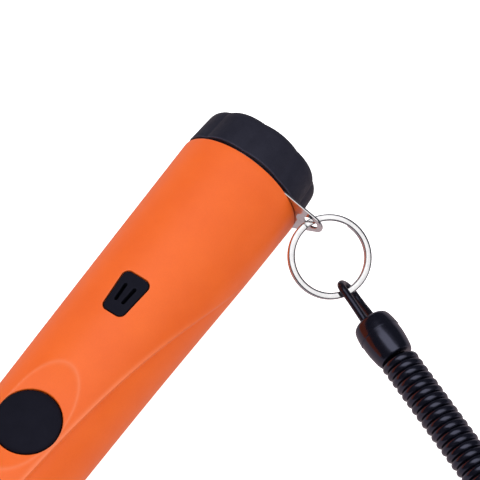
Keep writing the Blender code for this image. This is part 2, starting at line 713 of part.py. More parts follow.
def leads():
    wires = ((-4.0, "battery_lead_black", "black_rubber"), (4.0, "battery_lead_red", "red_insulation"))
    for y, name, finish in wires:
        path = [(55.2, y, 0.0), (61.0, y, 0.0), (63.5, y, 0.4), (65.5, y, 1.5), (68.0, y, 2.35),
                (72.0, y, 2.4)]
        sweep(name, path, round_section(0.65, 6), finish, side=Vector((0, 1, 0)))
    for y, name in ((-1.2, "coil_lead_left"), (1.2, "coil_lead_right")):
        path = [(128.0, y, 2.6), (134.0, y, 2.5), (139.0, y, 1.0), (145.0, y, 0.0), (151.4, y, 0.0)]
        sweep(name, path, round_section(0.45, 6), "copper", side=Vector((0, 1, 0)))


def search_coil():
    lathe("ferrite_rod", [(153.0, 0.0), (153.0, 3.7), (153.4, 4.0), (221.6, 4.0), (222.0, 3.7), (222.0, 0.0)],
          24, "ferrite")
    flange = 8.4
    core = 5.0
    profile = [(152.0, 4.3), (152.0, flange), (153.5, flange), (153.5, core), (188.0, core), (188.0, flange),
               (189.5, flange), (189.5, core), (222.5, core), (222.5, flange), (224.0, flange), (224.0, 4.3)]
    lathe("coil_bobbin", profile, 20, "natural_plastic")
    lathe("transmit_coil", [(153.9, 5.3), (153.9, 7.8), (187.6, 7.8), (187.6, 5.3)], 20, "copper")
    lathe("receive_coil", [(189.9, 5.3), (189.9, 7.2), (222.1, 7.2), (222.1, 5.3)], 20, "copper")


# ---------------------------------------------------------------- lug, ring and lanyard
def lug_hole():
    angle = radians(LUG_EAR_ANGLE)
    x = LUG_PLATE_START + LUG_THICKNESS / 2
    return Vector((x, LUG_HOLE_DISTANCE * cos(angle), LUG_HOLE_DISTANCE * sin(angle)))


def lug_outline():
    """A washer with an ear: (y, z) points of the outer edge, before the ear's tilt."""
    edge_offset = 16.0                               # the ear's straight edges pass this far from the axis
    lean = degrees(asin((edge_offset - LUG_EAR_RADIUS) / LUG_HOLE_DISTANCE))
    normal = 90.0 - lean
    reach = sqrt(LUG_OUTER_RADIUS ** 2 - edge_offset ** 2)
    foot = normal - degrees(atan2(reach, edge_offset))
    ring = [foot + (360.0 - 2 * foot) * k / 34 for k in range(35)]
    outline = [(LUG_OUTER_RADIUS * cos(radians(a)), LUG_OUTER_RADIUS * sin(radians(a))) for a in ring]
    ear = [-normal + 2 * normal * k / 12 for k in range(13)]
    outline += [(LUG_HOLE_DISTANCE + LUG_EAR_RADIUS * cos(radians(a)), LUG_EAR_RADIUS * sin(radians(a)))
                for a in ear]
    return outline


def lanyard_lug():
    end = LUG_PLATE_START + LUG_THICKNESS
    lug = along_x("lanyard_lug", lug_outline(), LUG_PLATE_START, end, "nickel")
    place(lug, Matrix.Rotation(radians(LUG_EAR_ANGLE), 4, "X"))
    centre = along_x("lug_centre", disc_outline(LUG_INNER_RADIUS, 40), 10.0, 16.0, "nickel")
    combine(lug, centre, "DIFFERENCE")
    hole = lug_hole()
    cut = along_x("lug_hole_cut", disc_outline(LUG_HOLE_RADIUS, 24, (hole.y, hole.z)), 10.0, 16.0, "nickel")
    combine(lug, cut, "DIFFERENCE")


def ring_matrix():
    """The split ring's frame: Z is its normal, and X points from its centre back to the lug's hole."""
    centre = lug_hole() + RING_HANG * RING_MEAN_RADIUS
    normal = (RING_NORMAL - RING_HANG * RING_NORMAL.dot(RING_HANG)).normalized()
    x_axis = -RING_HANG
    y_axis = normal.cross(x_axis)
    turn = Matrix((x_axis, y_axis, normal)).transposed().to_4x4()
    return Matrix.Translation(centre) @ turn


def split_ring(axis):
    """Two flat turns of one wire; the wire steps from one turn to the other beside the lug."""
    ramp_start = -62.0
    ramp_end = 12.0
    first = ramp_end - 3.0
    last = 360.0 + 360.0 + ramp_start + 3.0
    steps = 60
    path = []
    for k in range(steps + 1):
        angle = first + (last - first) * k / steps
        rise = smoothstep(360.0 + ramp_start + 5.0, 360.0 + ramp_end - 5.0, angle)
        height = RING_TURN_SPACING * (0.5 - rise)
        path.append((RING_MEAN_RADIUS * cos(radians(angle)), RING_MEAN_RADIUS * sin(radians(angle)), height))
    w = RING_WIDTH / 2
    h = RING_TURN_THICKNESS / 2
    section = [(-w, -h * 0.5), (-w * 0.7, -h), (w * 0.7, -h), (w, -h * 0.5), (w, h * 0.5), (w * 0.7, h),
               (-w * 0.7, h), (-w, h * 0.5)]
    sweep("split_ring", path, lambda i: section, "nickel", axis)


def lanyard_matrix():
    """The cord's frame: its origin is on the ring's wire, X runs down the cord, Z is near the ring's normal.
    """
    ring = ring_matrix()
    turn = radians(RING_LOOP_TURN)
    origin = ring @ Vector((RING_MEAN_RADIUS * cos(turn), RING_MEAN_RADIUS * sin(turn), 0.0))
    normal = ring.to_3x3() @ Vector((0, 0, 1))
    z_axis = (normal - CORD_DIRECTION * normal.dot(CORD_DIRECTION)).normalized()
    y_axis = z_axis.cross(CORD_DIRECTION)
    turn = Matrix((CORD_DIRECTION, y_axis, z_axis)).transposed().to_4x4()
    return Matrix.Translation(origin) @ turn


def hairpin(away, bend, spread, twist):
    """A cord path that goes out, round a bar at the origin and back; away is +1 or -1 along X.

    The strands pass above and below the bar, and twist to lie side by side at their far ends.
    """
    tail = LOOP_TAIL
    strand = [(tail, TAIL_SPREAD), (tail * 0.8, TAIL_SPREAD), (tail * 0.6, TAIL_SPREAD * 1.1),
              (tail * 0.47, spread * 0.7), (tail * 0.35, spread * 0.94)]
    first, last = [radians(a) for a in twist]
    path = []
    for x, reach in strand:
        turn = first + (last - first) * smoothstep(tail * 0.3, tail * 0.9, x)
        path.append((away * x, -reach * sin(turn), reach * cos(turn)))
    bow = []
    for a in [pi * k / 8 for k in range(9)]:
        reach = spread * cos(a)
        bow.append((-away * bend * sin(a), -reach * sin(first), reach * cos(first)))
    return path + bow + [(x, -y, -z) for x, y, z in reversed(path)]


def sleeve(name, start, forwards, parent):
    """A moulded barrel that joins the cord's loop to the coil; forwards is 1 or -1."""
    shape = [(0.0, 4.6), (0.8, 5.5), (2.6, 6.0), (5.3, 6.35), (9.5, 6.05), (12.2, 5.65), (SLEEVE_LENGTH, 5.2)]
    bore = 2.75
    outer = [(start + forwards * x, r) for x, r in shape]
    profile = outer + [(outer[-1][0], bore), (outer[0][0], bore)]
    return lathe(name, profile, 18, "black_gloss", parent)


def lanyard(ring_axis):
    cord = axis_empty("cord_axis", lanyard_matrix(), ring_axis)
    near = hairpin(1, 2.85, 3.2, NEAR_TWIST)
    sweep("cord_loop", near, round_section(CORD_RADIUS, 8), "black_rubber", cord, side=Vector((0, 1, 0)))
    sleeve("near_sleeve", SLEEVE_START, 1, cord)
    coil_start = SLEEVE_START + SLEEVE_LENGTH + GAP
    coil_end = coil_start + COIL_LENGTH
    lathe("coil_cord", [(coil_start, COIL_INNER_RADIUS), (coil_start, COIL_OUTER_RADIUS - 0.6),
                        (coil_start + 1.2, COIL_OUTER_RADIUS), (coil_end - 1.2, COIL_OUTER_RADIUS),
                        (coil_end, COIL_OUTER_RADIUS - 0.6), (coil_end, COIL_INNER_RADIUS)],
          24, "black_gloss", cord)
    far_end = coil_end + GAP + SLEEVE_LENGTH
    far = axis_empty("far_cord_axis", lanyard_matrix() @ Matrix.Translation((far_end, 0.0, 0.0)), cord)
    sleeve("far_sleeve", 0.0, -1, far)
    snap_hook(far)


def hook_matrix():
    """The hook's frame, past the far sleeve on the cord's line."""
    reach = SLEEVE_START + 2 * SLEEVE_LENGTH + COIL_LENGTH + 2 * GAP + HOOK_START
    return lanyard_matrix() @ Matrix.Translation((reach, 0.0, 0.0))


def snap_hook(far):
    """A swivel eye held by the cord's far loop, a cast hook and its sprung gate."""
    loop = hairpin(-1, 2.65, 2.65, FAR_TWIST)
    shifted = [(x + EYE_BAR, y, z) for x, y, z in loop]
    sweep("far_loop", shifted, round_section(CORD_RADIUS, 8), "black_rubber", far, side=Vector((0, 1, 0)))
    swivel_eye(far)
    hook = axis_empty("hook_axis", hook_matrix(), far)
    hook_body(hook)
    hook_gate(hook)


def swivel_eye(far):
    """A closed eye across the cord's loop with a round stem that turns in the hook's barrel."""
    bend = 5.0
    wire = 1.2
    centre = EYE_BAR + bend
    path = [(centre + bend * cos(a), bend * sin(a), 0.0) for a in [2 * pi * k / 18 for k in range(18)]]
    eye = sweep("swivel_eye", path, round_section(wire, 6), "nickel", far, closed_loop=True)
    stem_start = centre + bend
    stem = lathe("eye_stem", [(stem_start, 0.0), (stem_start, 1.5), (HOOK_START + 8.4, 1.5),
                              (HOOK_START + 8.4, 2.5), (HOOK_START + 9.6, 2.5), (HOOK_START + 10.0, 1.9),
                              (HOOK_START + 10.0, 0.0)], 20, "nickel", far)
    combine(eye, stem, "UNION")


def hook_body(hook):
    """Barrel, arms and bow of the hook, in the hook's X-Y plane."""
    body = lathe("hook_body", [(0.0, 1.75), (0.0, 3.9), (0.6, 4.4), (7.2, 4.4), (8.0, 4.0), (8.0, 1.75)], 24,
                 "nickel", hook)
    bow_path = [(6.0, 3.6, 0.0), (9.5, 5.4, 0.0), (14.0, 7.4, 0.0), (19.0, 8.6, 0.0), (24.5, 8.4, 0.0),
                (29.3, 6.1, 0.0), (32.0, 2.0, 0.0), (31.9, -2.6, 0.0), (29.6, -6.0, 0.0), (27.2, -7.6, 0.0)]
    sizes = [1.7, 1.8, 1.9, 1.9, 1.9, 1.9, 1.9, 1.8, 1.7, 1.5]
    bow = sweep("hook_bow", bow_path, lambda i: disc_outline(sizes[i], 8), "nickel", hook)
    combine(body, bow, "UNION")
    for name, low, high in (("hook_ear_low", -2.35, -1.25), ("hook_ear_high", 1.25, 2.35)):
        ear = upright(name, ear_outline(), low, high, "nickel", hook)
        combine(body, ear, "UNION")
    pin = upright("pin_hole", disc_outline(0.95, 12, (GATE_X, GATE_Y)), -4.0, 4.0, "nickel", hook)
    combine(body, pin, "DIFFERENCE")


def ear_outline():
    """One cheek of the gate's clevis, from the barrel out to the pin."""
    angles = [radians(-110.0 + 36.0 * k) for k in range(6)]
    end = [(GATE_X + 2.4 * cos(a), GATE_Y + 2.4 * sin(a)) for a in angles]
    return [(4.5, -3.0), (7.6, -3.6)] + end + [(7.8, -2.2), (4.5, -2.2)]


def hook_gate(hook):
    """The sprung lever that closes the hook's mouth, its pin and the spring round the pin."""
    pivot = Matrix.Translation((GATE_X, GATE_Y, 0.0))
    axis = axis_empty("gate_axis", hook_matrix() @ pivot, hook)
    eye = [(1.9 * cos(a), 1.9 * sin(a)) for a in [radians(60.0 + 24.0 * k) for k in range(10)]]
    lever = [(3.5, -2.5), (9.0, -4.4), (9.8, -3.4), (14.0, -2.9), (14.9, -1.6), (14.4, -0.4), (4.0, 1.2)]
    outline = eye + lever
    gate = upright("hook_gate", outline, -1.0, 0.35, "nickel", axis)
    bore = upright("gate_bore", disc_outline(1.0, 12), -3.0, 3.0, "nickel", axis)
    combine(gate, bore, "DIFFERENCE")
    upright("gate_pin", disc_outline(0.85, 12, (GATE_X, GATE_Y)), -2.7, 2.7, "nickel", hook)
    turns = 1.6
    steps = 20
    radius = 1.25
    path = []
    for k in range(steps + 1):
        a = 2 * pi * turns * k / steps
        path.append((GATE_X + radius * cos(a), GATE_Y + radius * sin(a), 0.62 + 0.4 * k / steps))
    sweep("gate_spring", path, round_section(0.14, 5), "steel", hook)


def build():
    clear_scene()
    grip_housing()
    probe_stem()
    stem_seal()
    led_lens()
    led_lamp()
    speaker_grille()
    power_button()
    tact_switch()
    battery_cap()
    battery_pieces()
    chassis()
    main_board()
    board_components()
    vibration_motor()
    leads()
    search_coil()
    lanyard_lug()
    ring_axis = axis_empty("ring_axis", ring_matrix())
    split_ring(ring_axis)
    lanyard(ring_axis)


build()
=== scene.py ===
"""Looks of the pinpointer probe: smooth shells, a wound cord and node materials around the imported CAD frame.

Shape functions work in millimetres in the CAD's own frame; new_object turns them into metres.
"""

import json
from math import asin, atan2, cos, degrees, hypot, pi, radians, sin, sqrt

import bmesh
import bpy
import numpy as np
from mathutils import Matrix, Vector


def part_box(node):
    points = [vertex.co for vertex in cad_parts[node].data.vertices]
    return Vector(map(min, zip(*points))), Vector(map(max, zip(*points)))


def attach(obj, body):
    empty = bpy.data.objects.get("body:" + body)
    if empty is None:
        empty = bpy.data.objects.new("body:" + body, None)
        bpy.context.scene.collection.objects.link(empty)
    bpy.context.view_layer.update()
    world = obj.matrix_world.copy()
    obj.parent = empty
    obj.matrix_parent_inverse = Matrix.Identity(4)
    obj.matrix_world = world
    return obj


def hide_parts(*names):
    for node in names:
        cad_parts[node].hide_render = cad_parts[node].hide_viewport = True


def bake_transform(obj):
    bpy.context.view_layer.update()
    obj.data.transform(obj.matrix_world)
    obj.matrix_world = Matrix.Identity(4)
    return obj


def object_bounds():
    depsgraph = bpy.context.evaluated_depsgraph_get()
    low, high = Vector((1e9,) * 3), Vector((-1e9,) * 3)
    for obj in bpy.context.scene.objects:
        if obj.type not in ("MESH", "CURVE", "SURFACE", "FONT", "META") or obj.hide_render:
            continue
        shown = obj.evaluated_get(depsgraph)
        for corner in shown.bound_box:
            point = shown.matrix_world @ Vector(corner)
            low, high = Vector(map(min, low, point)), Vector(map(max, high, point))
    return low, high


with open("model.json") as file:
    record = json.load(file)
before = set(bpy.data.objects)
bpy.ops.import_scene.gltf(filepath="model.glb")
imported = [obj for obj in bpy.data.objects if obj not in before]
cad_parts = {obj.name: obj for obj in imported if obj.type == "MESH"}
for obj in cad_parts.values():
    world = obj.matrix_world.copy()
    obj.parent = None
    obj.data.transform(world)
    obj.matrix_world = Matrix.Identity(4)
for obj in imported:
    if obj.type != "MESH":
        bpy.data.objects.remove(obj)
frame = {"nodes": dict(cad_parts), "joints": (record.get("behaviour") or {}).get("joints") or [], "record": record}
cad_low, cad_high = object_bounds()
MM = 0.001
JOINTS = {joint["name"]: joint for joint in frame["joints"]}
NODES = frame["nodes"]

# ---------------- driving dimensions (mm, degrees)
GAP = 0.3
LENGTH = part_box("probe_stem")[1].x / MM
TAIL_RADIUS = 20.0
CAP_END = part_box("battery_cap")[1].x / MM
HOUSING_START = 13.5
HOUSING_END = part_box("grip_housing")[1].x / MM
TAPER = 0.0229
TAPER_GROWTH = 0.000029
SHOULDER_START = 134.0
SHOULDER_END = 149.0
STEM_RADIUS = 12.3
STEM_TIP_RADIUS = 10.4
TIP_ROUND = 9.0
BATTERY_BORE = 15.2
BATTERY_BAY_END = 57.0
CAVITY_RADIUS = 13.3
SOCKET_RADIUS = 10.65
SOCKET_START = 142.5
NECK_END = 4.0
NECK_RADIUS = 16.5
COLLAR_RADIUS = 17.25
THREAD_START = 5.4
THREAD_PITCH = 3.0
THREAD_HEIGHT = 0.8
THREAD_BASE = 1.5
THREAD_CREST = 0.8
LOBES = 9
LOBE_CREST_RADIUS = 20.0
LOBE_NOTCH_RADIUS = 19.3
LOBE_NOTCH_ANGLE = 2.0
CAP_BORE = 17.9
CAP_FLOOR = 2.5
CAP_TAPER = 0.8
SCOOP_START = 30.0
SCOOP_FULL = 95.0
SCOOP_DEPTH = 1.15
SCOOP_LIP = 0.20               # the crease stands this proud
LIP_MIDDLE = -1.9              # columns from the crease, in degrees
LIP_WIDTH = 1.6
STEP_WIDTH = 2.4
SCOOP_FADE = (10.0, 105.0)
CREASE_START = 41.0
CREASE_FAR_ANGLE = 23.0
CREASE_SPREAD = 72.0
CREASE_DECAY = 41.0
CREASE_COLUMN = 63.0
BEND_ABOVE = 90.0              # how far the columns' bend reaches on the crease's two sides
BEND_BELOW = 120.0
BUTTON_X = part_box("switch_stem")[0].lerp(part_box("switch_stem")[1], 0.5).x / MM
BUTTON_RADIUS = 9.0
BUTTON_SINK = 0.75
DISH_RADIUS = 60.7
DISH_FLOOR_Z = 15.1
DISH_RIM = 0.10                # softness of the dish's rim
DISH_BEAD = 0.09               # height of the fine bead along it
DISH_REACH = 25.0              # the dish lies within this of the button along X
DISH_LOWEST = 8.0
# strengths of the painted highlight along the scoop's crease and along the dish's rim
CREASE_HIGHLIGHT = 0.34
RIM_HIGHLIGHT = 0.26
GRILLE_START = 61.6
GRILLE_END = 74.4
GRILLE_WIDE = 4.2
GRILLE_NARROW = 3.4
GRILLE_CORNER = 1.8
GRILLE_FOOT = 14.6
SLOT_HALF_LENGTH = 2.95
SLOT_HALF_WIDTH = 0.55
SLOT_OFFSET = 1.35
SLOT_LEAN = 4.0
LED_X = 141.6
LED_RADIUS = 3.0
LED_TILT = 29.0
LUG_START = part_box("lanyard_lug")[0].x / MM
LUG_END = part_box("lanyard_lug")[1].x / MM
LUG_INNER_RADIUS = 17.5
LUG_OUTER_RADIUS = 18.6
LUG_HOLE_DISTANCE = 25.2
LUG_EAR_ANGLE = 6.0
LUG_EAR_RADIUS = 4.0
LUG_EDGE_OFFSET = 16.0
LUG_HOLE_RADIUS = 2.3
RING_MEAN_RADIUS = 11.45
RING_WIDTH = 2.0
RING_TURN_THICKNESS = 1.1
RING_TURN_SPACING = 1.2
CORD_RADIUS = 1.15
LOOP_TAIL = 14.0
TAIL_SPREAD = 1.3
SLEEVE_START = 11.3
SLEEVE_LENGTH = 14.0
NEAR_TWIST = (31.0, 101.0)     # the near loop's turn about the cord, at the ring and in the sleeve
FAR_TWIST = (0.0, 75.0)
COIL_LENGTH = 110.0
COIL_TURNS = 44.5
COIL_MEAN_RADIUS = 4.2
COIL_ENTRY = 0.35              # turns past each end at which the cord leaves the axis
COIL_FULL = 0.10               # turns past each end at which it reaches the coil's radius
EYE_BAR = 10.5
HOOK_START = 23.5


# ---------------- mesh building
def smoothstep(low, high, value):
    t = np.clip((value - low) / (high - low), 0.0, 1.0)
    return t * t * (3 - 2 * t)


def axes_matrix(origin, x_axis, z_axis):
    """A placing matrix in mm with X along x_axis and Z as near to z_axis as that allows."""
    x_axis = Vector(x_axis).normalized()
    z_axis = Vector(z_axis)
    z_axis = (z_axis - x_axis * z_axis.dot(x_axis)).normalized()
    turn = Matrix((x_axis, z_axis.cross(x_axis), z_axis)).transposed().to_4x4()
    return Matrix.Translation(Vector(origin)) @ turn


def face_outwards(mesh):
    work = bmesh.new()
    work.from_mesh(mesh)
    bmesh.ops.recalc_face_normals(work, faces=work.faces)
    if work.calc_volume(signed=True) < 0:
        bmesh.ops.reverse_faces(work, faces=work.faces)
    work.to_mesh(mesh)
    work.free()


def shade(mesh, angle):
    mesh.shade_smooth()
    mesh.set_sharp_from_angle(angle=radians(angle))


def new_object(name, points, faces, matrix=None, smooth=38.0):
    """A closed mesh object from points in mm, shaded smooth up to an edge angle."""
    mesh = bpy.data.meshes.new(name)
    mesh.from_pydata(np.asarray(points, float).tolist(), [], faces)
    if matrix is not None:
        mesh.transform(matrix)
    mesh.transform(Matrix.Scale(MM, 4))
    face_outwards(mesh)
    shade(mesh, smooth)
    made = bpy.data.objects.new(name, mesh)
    bpy.context.scene.collection.objects.link(made)
    return made


def shell(name, rings, closed=False, poles=(None, None), matrix=None, smooth=38.0):
    """A mesh over rings of equal size; an open end closes on its pole point, or with one flat face."""
    rings = np.asarray(rings, float)
    rows, columns = rings.shape[:2]
    points = rings.reshape(-1, 3).tolist()
    row = np.arange(rows if closed else rows - 1)[:, None]
    column = np.arange(columns)[None, :]
    after = (row + 1) % rows
    beside = (column + 1) % columns
    corners = (row * columns + column, row * columns + beside,
               after * columns + beside, after * columns + column)
    faces = np.stack(corners, -1).reshape(-1, 4).tolist()
    if not closed:
        for start, pole in ((0, poles[0]), ((rows - 1) * columns, poles[1])):
            ring = [start + k for k in range(columns)]
            if pole is None:
                faces.append(ring)
                continue
            points.append(list(pole))
            faces += [[ring[k], ring[(k + 1) % columns], len(points) - 1] for k in range(columns)]
    return new_object(name, points, faces, matrix, smooth)


def lathe(name, profile, count=64, matrix=None, upright=False, smooth=38.0):
    """A solid turned round X, or round Z when upright; open profiles start and end on the axis."""
    turn = np.linspace(0, 2 * pi, count, endpoint=False)

    def ring(along, radius):
        flat = np.full(count, along)
        u = radius * np.cos(turn)
        v = radius * np.sin(turn)
        return np.stack((u, v, flat) if upright else (flat, u, v), -1)

    if profile[0][1] > 0:
        return shell(name, [ring(*p) for p in profile], True, matrix=matrix, smooth=smooth)
    ends = [(0, 0, p[0]) if upright else (p[0], 0, 0) for p in (profile[0], profile[-1])]
    return shell(name, [ring(*p) for p in profile[1:-1]], False, ends, matrix, smooth)


def softened(profile, radius, steps=3):
    """A profile with its corners rounded; a closed one starts off the axis."""
    count = len(profile)
    points = [Vector(p) for p in profile]
    closed = profile[0][1] > 0
    result = []
    for i, point in enumerate(points):
        if not closed and i in (0, count - 1):
            result.append(tuple(point))
            continue
        before = points[i - 1] - point
        after = points[(i + 1) % count] - point
        if before.angle(after) > radians(165):
            result.append(tuple(point))
            continue
        size = min(radius, before.length * 0.45, after.length * 0.45)
        first = point + before.normalized() * size
        last = point + after.normalized() * size
        for k in range(steps + 1):
            t = k / steps
            result.append(tuple(first * (1 - t) ** 2 + point * 2 * t * (1 - t) + last * t * t))
    return result


def curve_through(points, per_leg=8):
    """A Catmull-Rom curve through the points."""
    points = [np.asarray(p, float) for p in points]
    curve = []
    for i, (p1, p2) in enumerate(zip(points, points[1:])):
        p0 = points[i - 1] if i > 0 else p1 * 2 - p2
        p3 = points[i + 2] if i + 2 < len(points) else p2 * 2 - p1
        for k in range(per_leg):
            t = k / per_leg
            curve.append(0.5 * (2 * p1 + (p2 - p0) * t + (2 * p0 - 5 * p1 + 4 * p2 - p3) * t ** 2
                                + (3 * p1 - p0 - 3 * p2 + p3) * t ** 3))
    return np.array(curve + [points[-1]])


def around(radius, turn):
    """Points at the given radius, or radii, and angles in radians."""
    return np.stack((radius * np.cos(turn), radius * np.sin(turn)), -1)


def disc(radius, count, centre=(0.0, 0.0)):
    return around(radius, np.linspace(0, 2 * pi, count, endpoint=False)) + centre


def sweep(name, path, section, closed=False, hint=(0, 0, 1), matrix=None, scale=None, smooth=38.0):
    """A section of (across, up) points carried along a path; scale gives each point's size."""
    path = np.asarray(path, float)
    ahead = np.roll(path, -1, 0) - np.roll(path, 1, 0) if closed else np.gradient(path, axis=0)
    ahead /= np.linalg.norm(ahead, axis=1)[:, None]
    scale = np.ones(len(path)) if scale is None else scale
    section = np.asarray(section, float)
    up = np.asarray(hint, float)
    rings = []
    for point, forward, size in zip(path, ahead, scale):
        up = up - forward * (up @ forward)
        up = up / np.linalg.norm(up)
        across = np.cross(forward, up)
        rings.append(point + (across * section[:, :1] + up * section[:, 1:]) * size)
    return shell(name, rings, closed, matrix=matrix, smooth=smooth)


def rounded_box(half_x, half_y, corner):
    steps = 6
    outline = []
    for quarter in range(4):
        cx = (half_x - corner) * (1 if quarter in (0, 3) else -1)
        cy = (half_y - corner) * (1 if quarter in (0, 1) else -1)
        for k in range(steps + 1):
            a = pi / 2 * (quarter + k / steps)
            outline.append((cx + corner * cos(a), cy + corner * sin(a)))
    return np.array(outline)


def inset(outline, distance):
    """An anticlockwise closed outline moved inwards, or outwards when distance is negative."""
    ahead = np.roll(outline, -1, 0) - np.roll(outline, 1, 0)
    ahead /= np.linalg.norm(ahead, axis=1)[:, None]
    return outline + np.stack((-ahead[:, 1], ahead[:, 0]), -1) * distance


def stacked(name, levels, matrix=None, smooth=38.0):
    """A solid over (outline, height) levels; a height is one number or a function of x and y."""
    rings = []
    for outline, height in levels:
        z = height(*outline.T) if callable(height) else np.full(len(outline), float(height))
        rings.append(np.column_stack((outline, z)))
    return shell(name, rings, matrix=matrix, smooth=smooth)


def plate(name, outline, low, high, edge=0.2, matrix=None):
    """A flat plate over an outline, with its edges rounded."""
    outline = np.asarray(outline, float)
    half = edge * 0.3
    levels = [(inset(outline, edge), low), (inset(outline, half), low + half), (outline, low + edge),
              (outline, high - edge), (inset(outline, half), high - half), (inset(outline, edge), high)]
    return stacked(name, levels, matrix)


def applied(obj, smooth=38.0):
    """Replaces the mesh by what its modifiers make of it."""
    graph = bpy.context.evaluated_depsgraph_get()
    graph.update()
    mesh = bpy.data.meshes.new_from_object(obj.evaluated_get(graph))
    obj.modifiers.clear()
    obj.data = mesh
    shade(mesh, smooth)
    return obj


def combine(obj, operation, *tools, smooth=38.0):
    """Applies Booleans and removes their tools."""
    for tool in tools:
        step = obj.modifiers.new("combine", "BOOLEAN")
        step.operation = operation
        step.object = tool
        step.solver = "EXACT"
    applied(obj, smooth)
    for tool in tools:
        bpy.data.objects.remove(tool, do_unlink=True)
    return obj


def fused(name, parts, voxel, passes):
    """Melts overlapping parts into one cast body with soft inner corners."""
    points = []
    faces = []
    for part in parts:
        start = len(points)
        points += [v.co / MM for v in part.data.vertices]
        faces += [[start + i for i in face.vertices] for face in part.data.polygons]
        bpy.data.objects.remove(part, do_unlink=True)
    made = new_object(name, [tuple(p) for p in points], faces)
    melt = made.modifiers.new("melt", "REMESH")
    melt.mode = "VOXEL"
    melt.voxel_size = voxel * MM
    soften = made.modifiers.new("soften", "SMOOTH")
    soften.factor = 0.5
    soften.iterations = passes
    return applied(made, 60.0)


def show(obj, body, material, node):
    """Gives a piece its material and body, and lets it stand for a CAD node."""
    obj.data.materials.clear()
    obj.data.materials.append(material)
    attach(obj, body)
    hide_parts(node)


# ---------------- materials
def connect(tree, socket, value):
    """Links a node's input to another node's output, or sets it to a value."""
    if isinstance(value, bpy.types.NodeSocket):
        tree.links.new(value, socket)
    else:
        socket.default_value = value


class Shader:
    """A material's node tree with a Principled surface; inputs take values or other nodes' sockets."""

    def __init__(self, name):
        self.material = bpy.data.materials.new(name)
        self.material.use_nodes = True
        self.tree = self.material.node_tree
        self.surface = self.tree.nodes["Principled BSDF"]
        self.place = self.add("ShaderNodeTexCoord").outputs["Object"]

    def add(self, kind, settings=None, **inputs):
        node = self.tree.nodes.new(kind)
        for key, value in (settings or {}).items():
            setattr(node, key, value)
        self.feed(node, **inputs)
        return node

    def feed(self, node, **inputs):
        for key, value in inputs.items():
            connect(self.tree, node.inputs[key.replace("_", " ")], value)

    def noise(self, size, detail=2.0, stretch=(1.0, 1.0, 1.0)):
        """A noise whose features are about size millimetres across."""
        spread = self.add("ShaderNodeMapping", Vector=self.place, Scale=stretch)
        return self.add("ShaderNodeTexNoise", Vector=spread.outputs[0], Scale=1.0 / (size * MM),
                        Detail=detail, Roughness=0.6).outputs["Fac"]

    def span(self, value, low, high, first=0.3, last=0.7):
        return self.add("ShaderNodeMapRange", Value=value, From_Min=first, From_Max=last,
                        To_Min=low, To_Max=high).outputs[0]

    def mix(self, share, first, second):
        node = self.add("ShaderNodeMix", {"data_type": "RGBA"})
        connect(self.tree, node.inputs[0], share)
        for index, color in ((6, first), (7, second)):
            color = (*color, 1.0) if isinstance(color, tuple) else color
            connect(self.tree, node.inputs[index], color)
        return node.outputs[2]

    def bump(self, height, depth, under=None):
        node = self.add("ShaderNodeBump", Height=height, Distance=depth * MM, Strength=1.0)
        if under is not None:
            self.feed(node, Normal=under)
        return node.outputs[0]

    def edges(self, width, gain):
        """A mask that is high along convex and concave edges."""
        soft = self.add("ShaderNodeBevel", {"samples": 6}, Radius=width * MM)
        plain = self.add("ShaderNodeNewGeometry").outputs["Normal"]
        same = self.add("ShaderNodeVectorMath", {"operation": "DOT_PRODUCT"})
        self.tree.links.new(soft.outputs[0], same.inputs[0])
        self.tree.links.new(plain, same.inputs[1])
        return self.span(same.outputs["Value"], gain, 0.0, 0.90, 1.0)


def moulded(name, light, dark, rough, grain, depth, patch, edge_highlight=None, highlight_line_color=None, **extra):
    """A moulded surface: patchy colour, fine grain, and optional painted highlights along its edges and along
    marked lines.
    """
    s = Shader(name)
    color = s.mix(s.span(s.noise(patch, 3.0), 0.0, 1.0), dark, light)
    fine = s.noise(grain, 2.0)
    color = s.mix(s.span(fine, 0.0, 0.12), color, tuple(c * 0.75 for c in dark))
    # Painted highlight: a paler colour along edges, standing in for light caught by their rounding.
    if edge_highlight:
        color = s.mix(s.edges(0.5, edge_highlight[1]), color, edge_highlight[0])
    # Painted highlight: a paler colour along the lines the mesh marks.
    if highlight_line_color:
        lines = s.add("ShaderNodeAttribute", {"attribute_name": "painted_highlight_lines"})
        color = s.mix(lines.outputs["Fac"], color, highlight_line_color)
    roughness = s.span(s.noise(patch * 0.35, 3.0), rough[0], rough[1])
    normal = s.bump(fine, depth)
    normal = s.bump(s.noise(grain * 6.0, 2.0), depth * 1.5, normal)
    s.feed(s.surface, Base_Color=color, Roughness=roughness, Normal=normal, **extra)
    return s.material


def polished(name, light, dark, rough):
    """Bright plated metal with faint drawn lines, hairline scratches and slight tarnish."""
    s = Shader(name)
    tarnish = s.noise(3.0, 4.0)
    scratches = s.noise(0.12, 1.0, (1.0, 0.08, 0.5))
    color = s.mix(s.span(tarnish, 0.0, 1.0), dark, light)
    roughness = s.add("ShaderNodeMath", {"operation": "ADD"})
    s.tree.links.new(s.span(tarnish, rough[0], rough[1]), roughness.inputs[0])
    s.tree.links.new(s.span(scratches, 0.0, 0.05, 0.6, 0.75), roughness.inputs[1])
    normal = s.bump(scratches, 0.0015)
    normal = s.bump(s.noise(1.6, 2.0), 0.006, normal)
    s.feed(s.surface, Base_Color=color, Roughness=roughness.outputs[0], Metallic=1.0, Normal=normal)
    return s.material


def wound(name, color, dark, pitch):
    """Wire wound round X, as fine waves of colour and height; the colour darkens in the troughs between turns as
    painted shade.
    """
    s = Shader(name)
    waves = s.add("ShaderNodeTexWave", {"wave_type": "BANDS", "bands_direction": "X"}, Vector=s.place,
                  Scale=1.0 / (pitch * MM) / 3.2, Distortion=0.4, Detail=1.0)
    height = waves.outputs["Fac"]
    # Painted shade: the colour turns dark in the troughs between the turns.
    tint = s.mix(s.span(height, 0.0, 1.0, 0.0, 1.0), dark, color)
    s.feed(s.surface, Base_Color=tint, Metallic=0.9, Roughness=s.span(s.noise(1.5), 0.22, 0.4),
           Normal=s.bump(height, 0.1))
    return s.material


